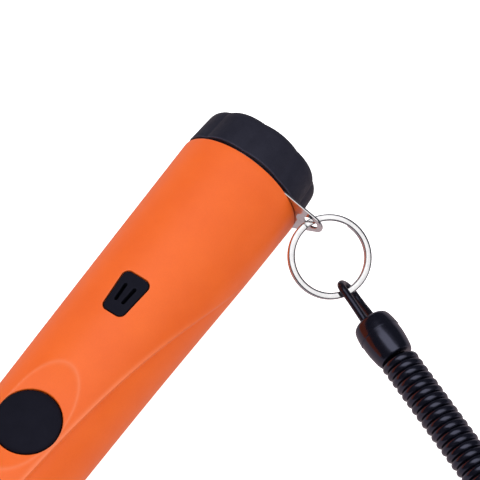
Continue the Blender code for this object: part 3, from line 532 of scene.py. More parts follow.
def board():
    """Green solder mask with faint copper tracks under it."""
    s = Shader("board_mask")
    tracks = s.add("ShaderNodeTexBrick", Vector=s.place, Scale=260.0, Mortar_Size=0.03,
                   Color1=(0.012, 0.13, 0.045, 1), Color2=(0.016, 0.16, 0.055, 1),
                   Mortar=(0.03, 0.26, 0.09, 1))
    color = s.mix(s.span(s.noise(4.0), 0.0, 0.4), tracks.outputs["Color"], (0.008, 0.09, 0.035))
    s.feed(s.surface, Base_Color=color, Roughness=s.span(s.noise(1.0), 0.28, 0.42),
           Normal=s.bump(tracks.outputs["Fac"], 0.03))
    return s.material


def lens():
    """Clear moulded plastic with slight waviness."""
    s = Shader("lens_clear")
    color = s.mix(s.span(s.noise(1.2), 0.0, 1.0), (0.86, 0.90, 0.92), (0.95, 0.97, 0.98))
    s.feed(s.surface, Base_Color=color, Roughness=s.span(s.noise(0.8), 0.04, 0.1), Transmission_Weight=0.85,
           IOR=1.49, Normal=s.bump(s.noise(1.5), 0.01))
    return s.material


BLUISH = (0.70, 0.72, 1.0, 1.0)
# The paler edge colours given below, and the orange's line colour, are painted highlights.
ORANGE = moulded("orange_satin", (0.98, 0.150, 0.0075), (0.93, 0.132, 0.0055), (0.38, 0.48), 0.42, 0.016,
                 14.0, ((1.0, 0.30, 0.12), 0.35), (1.0, 0.32, 0.15), Specular_IOR_Level=0.40)
CAP_BLACK = moulded("cap_textured", (0.020, 0.020, 0.032), (0.015, 0.015, 0.025), (0.46, 0.60), 0.36, 0.05,
                    5.0, ((0.09, 0.09, 0.13), 0.9), Specular_IOR_Level=0.25,
                    Specular_Tint=(0.75, 0.75, 1.0, 1.0))
BUTTON_BLACK = moulded("button_matte", (0.0095, 0.0095, 0.0160), (0.0080, 0.0080, 0.0135), (0.50, 0.64),
                       0.26, 0.014, 4.0, ((0.02, 0.02, 0.03), 0.5), Specular_IOR_Level=0.08,
                       Specular_Tint=(0.7, 0.7, 1.0, 1.0))
STEM_BLACK = moulded("stem_satin", (0.007, 0.007, 0.010), (0.004, 0.004, 0.006), (0.30, 0.42), 0.28, 0.010,
                     8.0, ((0.03, 0.03, 0.04), 0.5), Specular_IOR_Level=0.4)
INNER_BLACK = moulded("inner_black", (0.022, 0.022, 0.026), (0.014, 0.014, 0.018), (0.4, 0.55), 0.3, 0.01,
                      4.0)
RUBBER = moulded("cord_rubber", (0.0035, 0.0035, 0.006), (0.002, 0.002, 0.004), (0.20, 0.32), 0.5, 0.006,
                 3.0, Specular_IOR_Level=0.8, Specular_Tint=BLUISH)
SEAL_RUBBER = moulded("seal_rubber", (0.016, 0.016, 0.017), (0.010, 0.010, 0.011), (0.6, 0.75), 0.2, 0.008,
                      2.0)
GLOSS = moulded("coil_gloss", (0.0045, 0.0048, 0.0085), (0.0028, 0.0030, 0.0055), (0.14, 0.24), 0.8, 0.006,
                6.0, Specular_IOR_Level=1.0, Specular_Tint=BLUISH)
NICKEL = polished("nickel_plate", (0.80, 0.79, 0.78), (0.66, 0.65, 0.65), (0.07, 0.16))
STEEL = polished("plain_steel", (0.60, 0.61, 0.63), (0.48, 0.49, 0.51), (0.22, 0.36))
NATURAL = moulded("natural_nylon", (0.78, 0.75, 0.66), (0.70, 0.67, 0.58), (0.4, 0.55), 0.4, 0.01, 6.0,
                  Subsurface_Weight=0.1)
WRAP = moulded("battery_film", (0.07, 0.08, 0.12), (0.05, 0.055, 0.08), (0.22, 0.34), 0.6, 0.008, 7.0)
RED = moulded("red_insulation", (0.62, 0.022, 0.018), (0.5, 0.014, 0.012), (0.3, 0.42), 0.3, 0.006, 3.0)
FERRITE = moulded("ferrite_grey", (0.06, 0.06, 0.066), (0.035, 0.035, 0.04), (0.5, 0.7), 0.25, 0.02, 3.0)
FOAM = moulded("foam_cells", (0.11, 0.11, 0.12), (0.06, 0.06, 0.07), (0.85, 0.98), 0.45, 0.12, 3.0)
COPPER = wound("copper_winding", (0.86, 0.38, 0.16), (0.42, 0.14, 0.05), 0.35)
LENS = lens()
NODE_MATERIALS = {
    "orange_plastic": ORANGE, "black_plastic": INNER_BLACK, "black_rubber": SEAL_RUBBER,
    "black_gloss": GLOSS, "nickel": NICKEL, "clear_lens": LENS, "circuit_board": board(), "copper": COPPER,
    "ferrite": FERRITE, "natural_plastic": NATURAL, "battery_wrap": WRAP, "red_insulation": RED,
    "foam": FOAM, "steel": STEEL,
}


def paint_cad_nodes():
    """Every CAD node that stays on show takes the procedural material of its slot."""
    for part in frame["record"]["subparts"]:
        for holder in NODES[part["node"]].material_slots:
            holder.material = NODE_MATERIALS[part["material_slot"]]


# ---------------- housing
def stem_radius(x):
    share = (x - SHOULDER_END) / (LENGTH - TIP_ROUND - SHOULDER_END)
    return STEM_RADIUS + (STEM_TIP_RADIUS - STEM_RADIUS) * share


def grip_radius(x):
    """The round body's radius, before the scoop is taken off."""
    run = x - HOUSING_START
    grip = TAIL_RADIUS - TAPER * run - TAPER_GROWTH * run * run
    return grip + (stem_radius(x) - grip) * smoothstep(SHOULDER_START, SHOULDER_END, x)


def grip_height(x, y):
    return np.sqrt(grip_radius(x) ** 2 - np.minimum(np.abs(y), STEM_RADIUS) ** 2)


def crease_angle(x):
    """Where the scoop's upper edge lies at x, in degrees from the top towards +Y."""
    along = np.maximum(x, CREASE_START) - CREASE_START
    return CREASE_FAR_ANGLE + CREASE_SPREAD * np.exp(-along / CREASE_DECAY)


def housing_columns():
    """Column angles before they bend to follow the crease: close on top and closest at the crease."""
    close = np.arange(-60.0, 100.0, 1.2)
    wide = np.arange(100.0, 300.0, 2.5)
    crease = CREASE_COLUMN + np.arange(-3.2, 3.3, 0.4)
    close = close[np.abs(close - CREASE_COLUMN) > 3.6]
    return np.sort(np.concatenate((close, crease, wide)))


def housing_ring(x, columns):
    """The outer surface at x: the round body less the scoop, then less the button's dish."""
    away = (columns - CREASE_COLUMN + 180.0) % 360.0 - 180.0
    reach = np.where(away < 0, BEND_ABOVE, BEND_BELOW)
    bent = columns + (crease_angle(x) - CREASE_COLUMN) * np.maximum(0.0, 1.0 - np.abs(away) / reach)
    fade = smoothstep(SCOOP_START, SCOOP_FULL, x) * (1 - smoothstep(SHOULDER_START - 2, SHOULDER_END, x))
    drop = SCOOP_DEPTH * fade * smoothstep(-STEP_WIDTH, STEP_WIDTH, away)
    drop *= 1 - smoothstep(*SCOOP_FADE, away)
    lip = SCOOP_LIP * fade * np.exp(-((away - LIP_MIDDLE) / LIP_WIDTH) ** 2)
    radius = grip_radius(x) - drop + lip
    y = radius * np.sin(np.radians(bent))
    z = radius * np.cos(np.radians(bent))
    floor = dish_height(x, y)
    share = np.clip(0.5 + 0.5 * (floor - z) / DISH_RIM, 0.0, 1.0)
    sunk = floor * (1 - share) + z * share - DISH_RIM * share * (1 - share)
    sunk = sunk + DISH_BEAD * np.exp(-((floor - z - 0.05) / 0.13) ** 2)
    inside = (z > DISH_LOWEST) & (abs(x - BUTTON_X) < DISH_REACH)
    return np.stack((np.full(len(columns), x), y, np.where(inside, sunk, z)), -1)


def dish_height(x, y):
    """The saddle cut by a wheel lying across the grip; y only sets the answer's shape."""
    return DISH_FLOOR_Z + DISH_RADIUS - np.sqrt(DISH_RADIUS ** 2 - (x - BUTTON_X) ** 2 + 0 * y)


def thread(x, angle, start, turns):
    """Height of a right-handed thread ridge at x and at an angle round from +Y."""
    height = np.zeros(len(angle))
    for lap in range(3):
        turned = (angle % 360.0) / 360.0 + lap
        offset = np.abs(x - start - THREAD_PITCH * turned)
        ridge = np.clip((THREAD_BASE / 2 - offset) / (THREAD_BASE / 2 - THREAD_CREST / 2), 0.0, 1.0)
        runout = np.clip(np.minimum(turned * 5 + 0.15, (turns - turned) * 5 + 0.15), 0.0, 1.0)
        height = np.maximum(height, THREAD_HEIGHT * ridge * runout * (turned <= turns))
    return height


def round_ring(x, radius, angles, ridge=0.0):
    reach = radius + ridge
    return np.column_stack((np.full(len(angles), x), around(reach, np.radians(angles))[:, ::-1]))


def housing_skin():
    columns = housing_columns()
    bores = [(HOUSING_END, SOCKET_RADIUS), (SOCKET_START, SOCKET_RADIUS), (SOCKET_START - 5.0, CAVITY_RADIUS),
             (BATTERY_BAY_END + 0.6, CAVITY_RADIUS), (BATTERY_BAY_END, BATTERY_BORE),
             (NECK_END + 0.6, BATTERY_BORE), (NECK_END, BATTERY_BORE + 0.3),
             (NECK_END, NECK_RADIUS - 0.4), (NECK_END + 0.4, NECK_RADIUS)]
    rings = [round_ring(x, r, columns) for x, r in bores]
    collar = LUG_START - 0.7
    for x in np.arange(NECK_END + 0.5, collar - 0.1, 0.12):
        rings.append(round_ring(x, NECK_RADIUS, columns, thread(x, 90.0 - columns, THREAD_START, 2.0)))
    rings += [round_ring(x, r, columns) for x, r in ((collar, NECK_RADIUS), (LUG_START - 0.3, COLLAR_RADIUS),
                                                    (HOUSING_START, COLLAR_RADIUS))]
    first = housing_ring(HOUSING_START + 0.5, columns)
    for along, pulled in ((0.0, 0.5), (0.04, 0.3), (0.15, 0.13), (0.3, 0.04)):
        shrunk = first * (1, 1 - pulled / TAIL_RADIUS, 1 - pulled / TAIL_RADIUS)
        shrunk[:, 0] = HOUSING_START + along
        rings.append(shrunk)
    stations = np.concatenate((np.arange(HOUSING_START + 0.5, 90.0, 1.3), np.arange(90.0, 133.0, 0.33),
                               np.arange(133.0, HOUSING_END - 0.5, 0.75)))
    rings += [housing_ring(x, columns) for x in stations]
    edge = stem_radius(HOUSING_END)
    for x, pulled in ((-0.35, 0.0), (-0.1, 0.08), (0.0, 0.3)):
        rings.append(round_ring(HOUSING_END + x, edge - pulled, columns))
    skin = shell("housing_skin", rings, True, smooth=32.0)
    combine(skin, "DIFFERENCE", button_opening(), grille_opening(), led_bore(), smooth=32.0)
    paint_highlight_lines(skin.data)
    return skin


def paint_highlight_lines(mesh):
    """Marks the scoop's crease and the dish's rim for a painted highlight, a paler line where these edges catch
    the light.
    """
    points = np.empty(len(mesh.vertices) * 3)
    mesh.vertices.foreach_get("co", points)
    x, y, z = points.reshape(-1, 3).T / MM
    away = np.degrees(np.arctan2(y, z)) - crease_angle(x)
    fade = smoothstep(SCOOP_START, SCOOP_FULL, x) * (1 - smoothstep(SHOULDER_START - 12, SHOULDER_START, x))
    crease = CREASE_HIGHLIGHT * fade * np.exp(-((away + 1.8) / 2.5) ** 2)
    beside = np.clip(x, BUTTON_X - DISH_REACH, BUTTON_X + DISH_REACH)
    above = dish_height(beside, y) - grip_height(beside, y)
    near = (beside == x) & (z > DISH_LOWEST)
    rim = RIM_HIGHLIGHT * np.where(near, np.exp(-((above - 0.02) / 0.22) ** 2), 0.0)
    outer = np.hypot(y, z) > CAVITY_RADIUS + 0.6
    lines = mesh.attributes.new("painted_highlight_lines", "FLOAT", "POINT")
    lines.data.foreach_set("value", (np.maximum(crease, rim) * outer).astype(np.float32))


def lipped_cutter(name, outline, low, surface, lip):
    """A cutter whose walls flare just under the surface, so that the opening gets a rounded lip."""
    levels = [(outline, low), (outline, lambda x, y: surface(x, y) - lip),
              (inset(outline, -lip * 0.15), lambda x, y: surface(x, y) - lip * 0.45),
              (inset(outline, -lip * 0.5), lambda x, y: surface(x, y) - lip * 0.12),
              (inset(outline, -lip * 1.3), lambda x, y: surface(x, y) + lip * 0.15),
              (inset(outline, -lip * 1.6), 24.0)]
    return stacked(name, levels)


def button_opening():
    outline = disc(BUTTON_RADIUS + GAP, 120, (BUTTON_X, 0.0))
    return lipped_cutter("button_opening", outline, 6.0, dish_height, 0.28)


def grille_outline(grow, steps=10):
    """The grille's rounded trapezoid seen from above, grown by a clearance."""
    start = GRILLE_START - grow
    end = GRILLE_END + grow
    corner = GRILLE_CORNER + grow
    side = 90.0 - degrees(atan2(GRILLE_WIDE - GRILLE_NARROW, end - start))
    upper = []
    for centre_x, half, first, last in ((end - corner, GRILLE_NARROW + grow, 0.0, side),
                                        (start + corner, GRILLE_WIDE + grow, side, 180.0)):
        for a in np.radians(np.linspace(first, last, steps)):
            upper.append((centre_x + corner * cos(a), half - corner + corner * sin(a)))
    return np.array(upper + [(x, -y) for x, y in reversed(upper)])


def grille_opening():
    return lipped_cutter("grille_opening", grille_outline(GAP), 10.0, grip_height, 0.22)


def led_matrix():
    """X points out of the shoulder along the lamp's axis."""
    turn = Matrix.Rotation(radians(-(90.0 - LED_TILT)), 4, "Y")
    return Matrix.Translation((LED_X, 0.0, float(grip_radius(LED_X)))) @ turn


def led_bore():
    reach = LED_RADIUS + GAP
    return lathe("led_bore", [(-9.0, 0.0), (-9.0, reach), (4.0, reach), (4.0, 0.0)], 64, led_matrix())


# ---------------- other shells and controls
def grille_plug():
    outline = grille_outline(0.0, 12)
    centre = np.array(((GRILLE_START + GRILLE_END) / 2, 0.0))
    levels = [(inset(outline, 0.15), GRILLE_FOOT), (outline, GRILLE_FOOT + 0.15)]
    for pulled, sunk in ((0.0, 0.26), (0.06, 0.12), (0.16, 0.03), (0.3, 0.0)):
        levels.append((inset(outline, pulled), lambda x, y, s=sunk: grip_height(x, y) - s))
    top = inset(outline, 0.3)
    for share in (0.85, 0.68, 0.5, 0.32, 0.15):
        levels.append((centre + (top - centre) * share, grip_height))
    plug = stacked("grille_plug", levels)
    slots = []
    for side in (-1, 1):
        lean = radians(-SLOT_LEAN * side)
        turn = np.array(((cos(lean), sin(lean)), (-sin(lean), cos(lean))))
        outline = rounded_box(SLOT_HALF_LENGTH, SLOT_HALF_WIDTH, SLOT_HALF_WIDTH - 0.01) @ turn
        outline = outline + (centre[0], side * SLOT_OFFSET)
        slots.append(lipped_cutter("slot", outline, GRILLE_FOOT + 1.2, grip_height, 0.12))
    return combine(plug, "DIFFERENCE", *slots)


def probe_stem():
    back = HOUSING_END - 6.5
    front = HOUSING_END + GAP
    outer = [(back, 9.9), (back + 0.5, 10.35), (back + 2.2, 10.35), (back + 2.2, 9.35), (back + 3.8, 9.35),
             (back + 3.8, 10.35), (front, 10.35), (front, 12.0), (front + 0.5, 12.45), (front + 2.6, 12.45),
             (front + 3.1, 12.1)]
    outer = softened([(back, 8.9)] + outer + [(front + 3.6, float(stem_radius(front + 3.6)) - 0.1)], 0.15)[1:]
    arc_start = LENGTH - TIP_ROUND
    run = [(x, float(stem_radius(x)) - 0.1) for x in np.linspace(front + 6.0, arc_start - 3.0, 14)]
    tip = float(stem_radius(arc_start)) - 0.1
    arc = [(arc_start + TIP_ROUND * sin(a), tip * cos(a)) for a in np.radians(np.arange(0.0, 89.0, 4.0))]
    inside = [(back, 8.9), (LENGTH - 10.0, 8.9), (LENGTH - 7.0, 7.6), (LENGTH - 3.4, 4.4),
              (LENGTH - 2.2, 0.0)]
    profile = [(LENGTH, 0.0)] + list(reversed(outer + run + arc)) + inside
    return lathe("probe_shaft", profile, 96)


def button_cap():
    top = DISH_FLOOR_Z + BUTTON_SINK
    dome = [(top + 0.75, 0.0), (top + 0.74, 0.8), (top + 0.71, 1.8), (top + 0.62, 3.5), (top + 0.48, 5.2),
            (top + 0.3, 6.8), (top + 0.16, 7.7), (top + 0.02, 8.25), (top - 0.13, 8.62), (top - 0.32, 8.88),
            (top - 0.6, BUTTON_RADIUS)]
    under = [(10.9, BUTTON_RADIUS), (10.9, 7.6), (13.6, 7.6), (13.6, 2.0), (12.65, 2.0), (12.65, 0.0)]
    place = Matrix.Translation((BUTTON_X, 0.0, 0.0))
    button = lathe("button_cap", dome + under, 120, place, upright=True)
    bar = rounded_box(11.2, 3.5, 0.8)
    middle = rounded_box(8.5, 5.0, 0.5)
    tabs = stacked("tabs", [(bar, 10.9), (bar, 11.9)], place)
    hollow = stacked("hollow", [(middle, 10.0), (middle, 12.5)], place)
    combine(tabs, "DIFFERENCE", hollow)
    return combine(button, "UNION", tabs)


def lobe_radius(angle):
    """The cap's radius at an angle in degrees from the top: arcs that meet in shallow notches."""
    half = radians(180.0 / LOBES)
    centre = (LOBE_CREST_RADIUS ** 2 - LOBE_NOTCH_RADIUS ** 2) / (
        2 * (LOBE_CREST_RADIUS - LOBE_NOTCH_RADIUS * cos(half)))
    arc = LOBE_CREST_RADIUS - centre
    step = 360.0 / LOBES
    away = np.radians((angle - LOBE_NOTCH_ANGLE) % step - step / 2)
    return centre * np.cos(away) + np.sqrt(arc * arc - (centre * np.sin(away)) ** 2)


def cap_shell():
    angles = LOBE_NOTCH_ANGLE + np.arange(LOBES * 28) * 360.0 / (LOBES * 28)
    lobes = lobe_radius(angles)
    rounding = [(0.0, 6.0), (0.0, 2.4), (0.05, 2.05), (0.2, 1.6), (0.45, 1.15), (0.8, 0.75), (1.2, 0.45),
                (1.7, 0.22), (2.3, 0.07), (3.0, 0.0), (3.4, 0.0), (CAP_END - 0.45, 0.0),
                (CAP_END - 0.2, 0.05), (CAP_END - 0.05, 0.18), (CAP_END, 0.4)]
    outer = [(x, pulled + CAP_TAPER * (1.0 - x / CAP_END)) for x, pulled in rounding]
    rings = [round_ring(x, lobes - pulled, angles) for x, pulled in outer]
    rings += [round_ring(CAP_END, CAP_BORE + 0.25, angles), round_ring(CAP_END - 0.3, CAP_BORE, angles)]
    start = THREAD_START + THREAD_PITCH / 2
    for x in np.arange(CAP_END - 0.5, start - 1.0, -0.15):
        rings.append(round_ring(x, CAP_BORE, angles, -thread(x, 90.0 - angles, start, 1.4)))
    rings.append(round_ring(CAP_FLOOR, CAP_BORE, angles))
    return shell("cap_shell", rings, False, ((0, 0, 0), (CAP_FLOOR, 0, 0)), smooth=30.0)


def torus(name, x, radius, section):
    steps = np.linspace(0, 2 * pi, 16, endpoint=False)
    return lathe(name, [(x + section * cos(a), radius + section * sin(a)) for a in steps], 96)


def foam_pad():
    """A cut foam disc whose face is pressed slightly hollow by the battery."""
    profile = [(2.8, 0.0), (2.8, 11.2), (2.95, 11.8), (3.5, 12.0), (4.8, 12.05), (5.3, 11.85), (5.5, 11.3),
               (5.46, 8.0), (5.35, 4.0), (5.32, 0.0)]
    return lathe("foam_pad", profile, 72)


# ---------------- lug, ring and lanyard
def lug_outline():
    """A washer with an ear along +Y: (y, z) points of the outer edge."""
    lean = degrees(asin((LUG_EDGE_OFFSET - LUG_EAR_RADIUS) / LUG_HOLE_DISTANCE))
    normal = 90.0 - lean
    reach = sqrt(LUG_OUTER_RADIUS ** 2 - LUG_EDGE_OFFSET ** 2)
    foot = normal - degrees(atan2(reach, LUG_EDGE_OFFSET))
    washer = np.radians(np.linspace(foot, 360.0 - foot, 150))
    ear = np.radians(np.linspace(-normal, normal, 40))
    return np.concatenate((around(LUG_OUTER_RADIUS, washer),
                           around(LUG_EAR_RADIUS, ear) + (LUG_HOLE_DISTANCE, 0.0)))


def on_x(outline, x):
    return np.column_stack((np.full(len(outline), x), outline))


def lug_plate():
    outline = lug_outline()
    bore = around(LUG_INNER_RADIUS, np.arctan2(outline[:, 1], outline[:, 0]))
    edge = 0.16
    rings = [on_x(bore, LUG_START), on_x(inset(outline, edge), LUG_START),
             on_x(inset(outline, edge * 0.3), LUG_START + edge * 0.3), on_x(outline, LUG_START + edge),
             on_x(outline, LUG_END - edge), on_x(inset(outline, edge * 0.3), LUG_END - edge * 0.3),
             on_x(inset(outline, edge), LUG_END), on_x(bore, LUG_END)]
    tilt = Matrix.Rotation(radians(LUG_EAR_ANGLE), 4, "X")
    lug = shell("lug_plate", rings, True, matrix=tilt)
    flare = LUG_HOLE_RADIUS + 0.25
    profile = [(LUG_START - 1.0, 0.0), (LUG_START - 1.0, flare + 0.9), (LUG_START, flare - 0.1),
               (LUG_START + 0.06, LUG_HOLE_RADIUS + 0.06), (LUG_START + 0.18, LUG_HOLE_RADIUS),
               (LUG_END - 0.18, LUG_HOLE_RADIUS), (LUG_END - 0.06, LUG_HOLE_RADIUS + 0.06),
               (LUG_END, flare - 0.1), (LUG_END + 1.0, flare + 0.9), (LUG_END + 1.0, 0.0)]
    hole = lathe("lug_hole", profile, 72, tilt @ Matrix.Translation((0.0, LUG_HOLE_DISTANCE, 0.0)))
    return combine(lug, "DIFFERENCE", hole)


HOLE_PLACE = Vector(JOINTS["ring_swing"]["pos_m"]) / MM
RING_CENTRE = Vector(JOINTS["loop_travel"]["pos_m"]) / MM
RING_NORMAL = Vector(JOINTS["loop_travel"]["axis"])
CORD_DIRECTION = Vector(JOINTS["cord_stretch"]["axis"]).normalized()
RING = axes_matrix(RING_CENTRE, HOLE_PLACE - RING_CENTRE, RING_NORMAL)
CORD = axes_matrix(RING @ Vector((-RING_MEAN_RADIUS, 0.0, 0.0)), CORD_DIRECTION, RING_NORMAL)
FAR = CORD @ Matrix.Translation((SLEEVE_START + 2 * SLEEVE_LENGTH + COIL_LENGTH + 2 * GAP, 0.0, 0.0))
HOOK = FAR @ Matrix.Translation((HOOK_START, 0.0, 0.0))
GATE = HOOK @ Matrix.Translation((11.5, -5.4, 0.0))


def split_ring():
    """Two turns of flattened wire; it steps from one turn to the other beside the lug."""
    turn = np.radians(np.linspace(9.0, 661.0, 420))
    rise = smoothstep(303.0, 367.0, np.degrees(turn))
    path = np.column_stack((around(RING_MEAN_RADIUS, turn), RING_TURN_SPACING * (0.5 - rise)))
    circle = disc(1.0, 28)
    section = np.sign(circle) * np.abs(circle) ** 0.7 * (RING_WIDTH / 2, RING_TURN_THICKNESS / 2)
    ends = np.ones(len(path))
    ends[[0, -1]] = 0.72
    ends[[1, -2]] = 0.93
    return sweep("ring_wire", path, section, matrix=RING, scale=ends, smooth=50.0)


def hairpin(away, bend, spread, twist):
    """A cord path that goes out, round a bar at the origin and back; away is +1 or -1 along X.

    The strands pass above and below the bar, and run straight to lie side by side at their far ends.
    """
    first, last = np.radians(twist)
    start = LOOP_TAIL * 0.3
    at_bow = np.array((-sin(first), cos(first))) * spread
    at_sleeve = np.array((-sin(last), cos(last))) * TAIL_SPREAD
    path = []
    for x in np.linspace(LOOP_TAIL, 1.2, 14):
        share = (x - start + hypot(x - start, 1.2)) / 2 / (LOOP_TAIL - start)
        path.append((away * x, *(at_bow + (at_sleeve - at_bow) * min(share, 1.0))))
    bow = []
    for a in [pi * k / 8 for k in range(9)]:
        reach = spread * cos(a)
        bow.append((-away * bend * sin(a), -reach * sin(first), reach * cos(first)))
    return path + bow + [(x, -y, -z) for x, y, z in reversed(path)]


def cord_loop(name, path, matrix):
    smooth_path = curve_through(path, 10)
    return sweep(name, smooth_path, disc(CORD_RADIUS, 24), hint=(0, 1, 0), matrix=matrix, smooth=60.0)


def sleeve(name, forwards, matrix):
    """A moulded barrel that joins the cord's loop to the coil, with a step where its halves meet."""
    head = curve_through([(0.0, 3.6), (0.12, 4.3), (0.45, 5.0), (1.2, 5.6), (2.8, 6.0), (5.3, 6.3)], 6)
    body = curve_through([(5.75, 6.12), (7.5, 6.14), (9.5, 6.02), (12.2, 5.65), (13.5, 5.3)], 6)
    step = [(5.42, 6.3), (5.5, 6.26), (5.6, 6.12)]
    end = [(13.8, 5.12), (SLEEVE_LENGTH, 4.8)]
    bore = 2.75
    outer = [(forwards * float(x), float(r)) for x, r in list(head) + step + list(body) + end]
    profile = outer + [(outer[-1][0], bore + 0.3), (outer[-1][0] - forwards * 0.4, bore), (outer[0][0], bore)]
    return lathe(name, profile, 72, matrix, smooth=50.0)


def coil():
    """The wound cord: touching turns that run out of one sleeve and into the other."""
    first = SLEEVE_START + SLEEVE_LENGTH + GAP
    wire = COIL_LENGTH / (COIL_TURNS + 1.0) / 2
    turn = np.linspace(-COIL_ENTRY, COIL_TURNS + COIL_ENTRY, int(44 * (COIL_TURNS + 2 * COIL_ENTRY)))
    past_ends = np.abs(turn - COIL_TURNS / 2) - COIL_TURNS / 2
    radius = COIL_MEAN_RADIUS * (1 - smoothstep(COIL_FULL, COIL_ENTRY, past_ends))
    along = first + wire + (COIL_LENGTH - 2 * wire) * turn / COIL_TURNS
    path = np.column_stack((along, around(radius, 2 * pi * turn) * (-1, 1)))
    lead = np.array([(path[0][0] - 2.6 + 0.65 * k, 0.0, 0.0) for k in range(4)])
    tail = np.array([(path[-1][0] + 0.65 * (k + 1), 0.0, 0.0) for k in range(4)])
    share = np.clip(np.concatenate((np.zeros(4), turn / COIL_TURNS, np.ones(4))), 0.0, 1.0)
    section = disc(wire * 1.02, 16)
    path = np.concatenate((lead, path, tail))
    made = sweep("coil_turns", path, section, hint=(0, 1, 0), matrix=CORD, smooth=60.0)
    return made, np.repeat(share, len(section))


def swivel_eye():
    """A closed eye across the cord's loop with a round stem that turns in the hook's barrel."""
    bend = 5.0
    centre = EYE_BAR + bend
    turn = np.linspace(0, 2 * pi, 72, endpoint=False)
    path = np.column_stack((around(bend, turn) + (centre, 0.0), 0 * turn))
    eye = sweep("eye", path, disc(1.2, 20), closed=True)
    start = centre + bend - 0.6
    end = HOOK_START + 8.4
    stem = lathe("stem", [(start, 0.0), (start, 1.9), (start + 1.6, 1.55), (end, 1.5), (end, 2.4),
                          (end + 0.2, 2.6), (end + 1.0, 2.6), (end + 1.4, 2.2), (end + 1.6, 1.4),
                          (end + 1.7, 0.0)], 40)
    made = fused("eye_casting", [eye, stem], 0.2, 4)
    made.data.transform(metres(FAR))
    return made


def metres(matrix):
    """A placing matrix in mm, for points already in metres."""
    placed = matrix.copy()
    placed.translation = matrix.translation * MM
    return placed


def hook_casting():
    """Barrel, cheeks and bow of the hook, melted into one casting."""
    barrel = lathe("barrel", softened([(0.0, 1.75), (0.0, 4.4), (8.0, 4.4), (8.0, 1.75)], 0.6, 5), 64)
    bow = [(6.0, 3.6, 0.0), (9.5, 5.4, 0.0), (14.0, 7.4, 0.0), (19.0, 8.6, 0.0), (24.5, 8.4, 0.0),
           (29.3, 6.1, 0.0), (32.0, 2.0, 0.0), (31.9, -2.6, 0.0), (29.6, -6.0, 0.0), (27.2, -7.6, 0.0)]
    sizes = [1.7, 1.8, 1.9, 1.9, 1.9, 1.9, 1.9, 1.8, 1.7, 1.45]
    path = curve_through(bow, 8)
    scale = np.interp(np.arange(len(path)) / 8, np.arange(len(sizes)), sizes)
    parts = [barrel, sweep("bow", path, disc(1.0, 24), scale=scale)]
    ball = around(sizes[-1], np.radians(np.linspace(-90, 90, 13)))[:, ::-1]
    parts.append(lathe("bow_end", ball.tolist(), 24, Matrix.Translation(bow[-1])))
    end = [(11.5 + 2.4 * cos(a), -5.4 + 2.4 * sin(a)) for a in np.radians(np.linspace(-110.0, 70.0, 16))]
    cheek = np.array([(4.5, -3.2), (7.6, -3.9)] + end + [(7.8, -2.2), (4.5, -1.8)])
    for low, high in ((-2.4, -1.25), (1.25, 2.4)):
        parts.append(stacked("cheek", [(cheek, low), (cheek, high)]))
    made = fused("hook_casting", parts, 0.22, 3)
    made.data.transform(metres(HOOK))
    return made


def gate_lever():
    """The sprung lever that closes the hook's mouth."""
    eye = [(1.9 * cos(a), 1.9 * sin(a)) for a in np.radians(np.linspace(60.0, 276.0, 20))]
    rest = curve_through([(2.2, -2.2), (3.6, -2.6), (6.0, -3.5), (8.8, -4.35), (9.6, -4.1), (9.9, -3.4),
                          (11.5, -3.05), (14.0, -2.9), (14.8, -2.3), (14.95, -1.4), (14.4, -0.5), (9.0, 0.35),
                          (4.0, 1.15), (2.2, 1.5)], 3)
    gate = plate("gate_lever", np.array(eye + [tuple(p) for p in rest]), -1.0, 0.35, 0.22, GATE)
    bore = stacked("bore", [(disc(1.0, 32), -3.0), (disc(1.0, 32), 3.0)], GATE)
    return combine(gate, "DIFFERENCE", bore)


def gate_rivet():
    dome = softened([(-2.75, 0.0), (-2.75, 0.85), (2.75, 0.85), (2.75, 0.0)], 0.3, 4)
    return lathe("gate_rivet", dome, 32, GATE, upright=True)


def spring_wire():
    turn = np.linspace(0.0, 1.6, 70)
    path = np.column_stack((around(1.25, 2 * pi * turn), 0.62 + 0.4 * turn))
    return sweep("spring_wire", path, disc(0.14, 10), matrix=GATE, smooth=60.0)


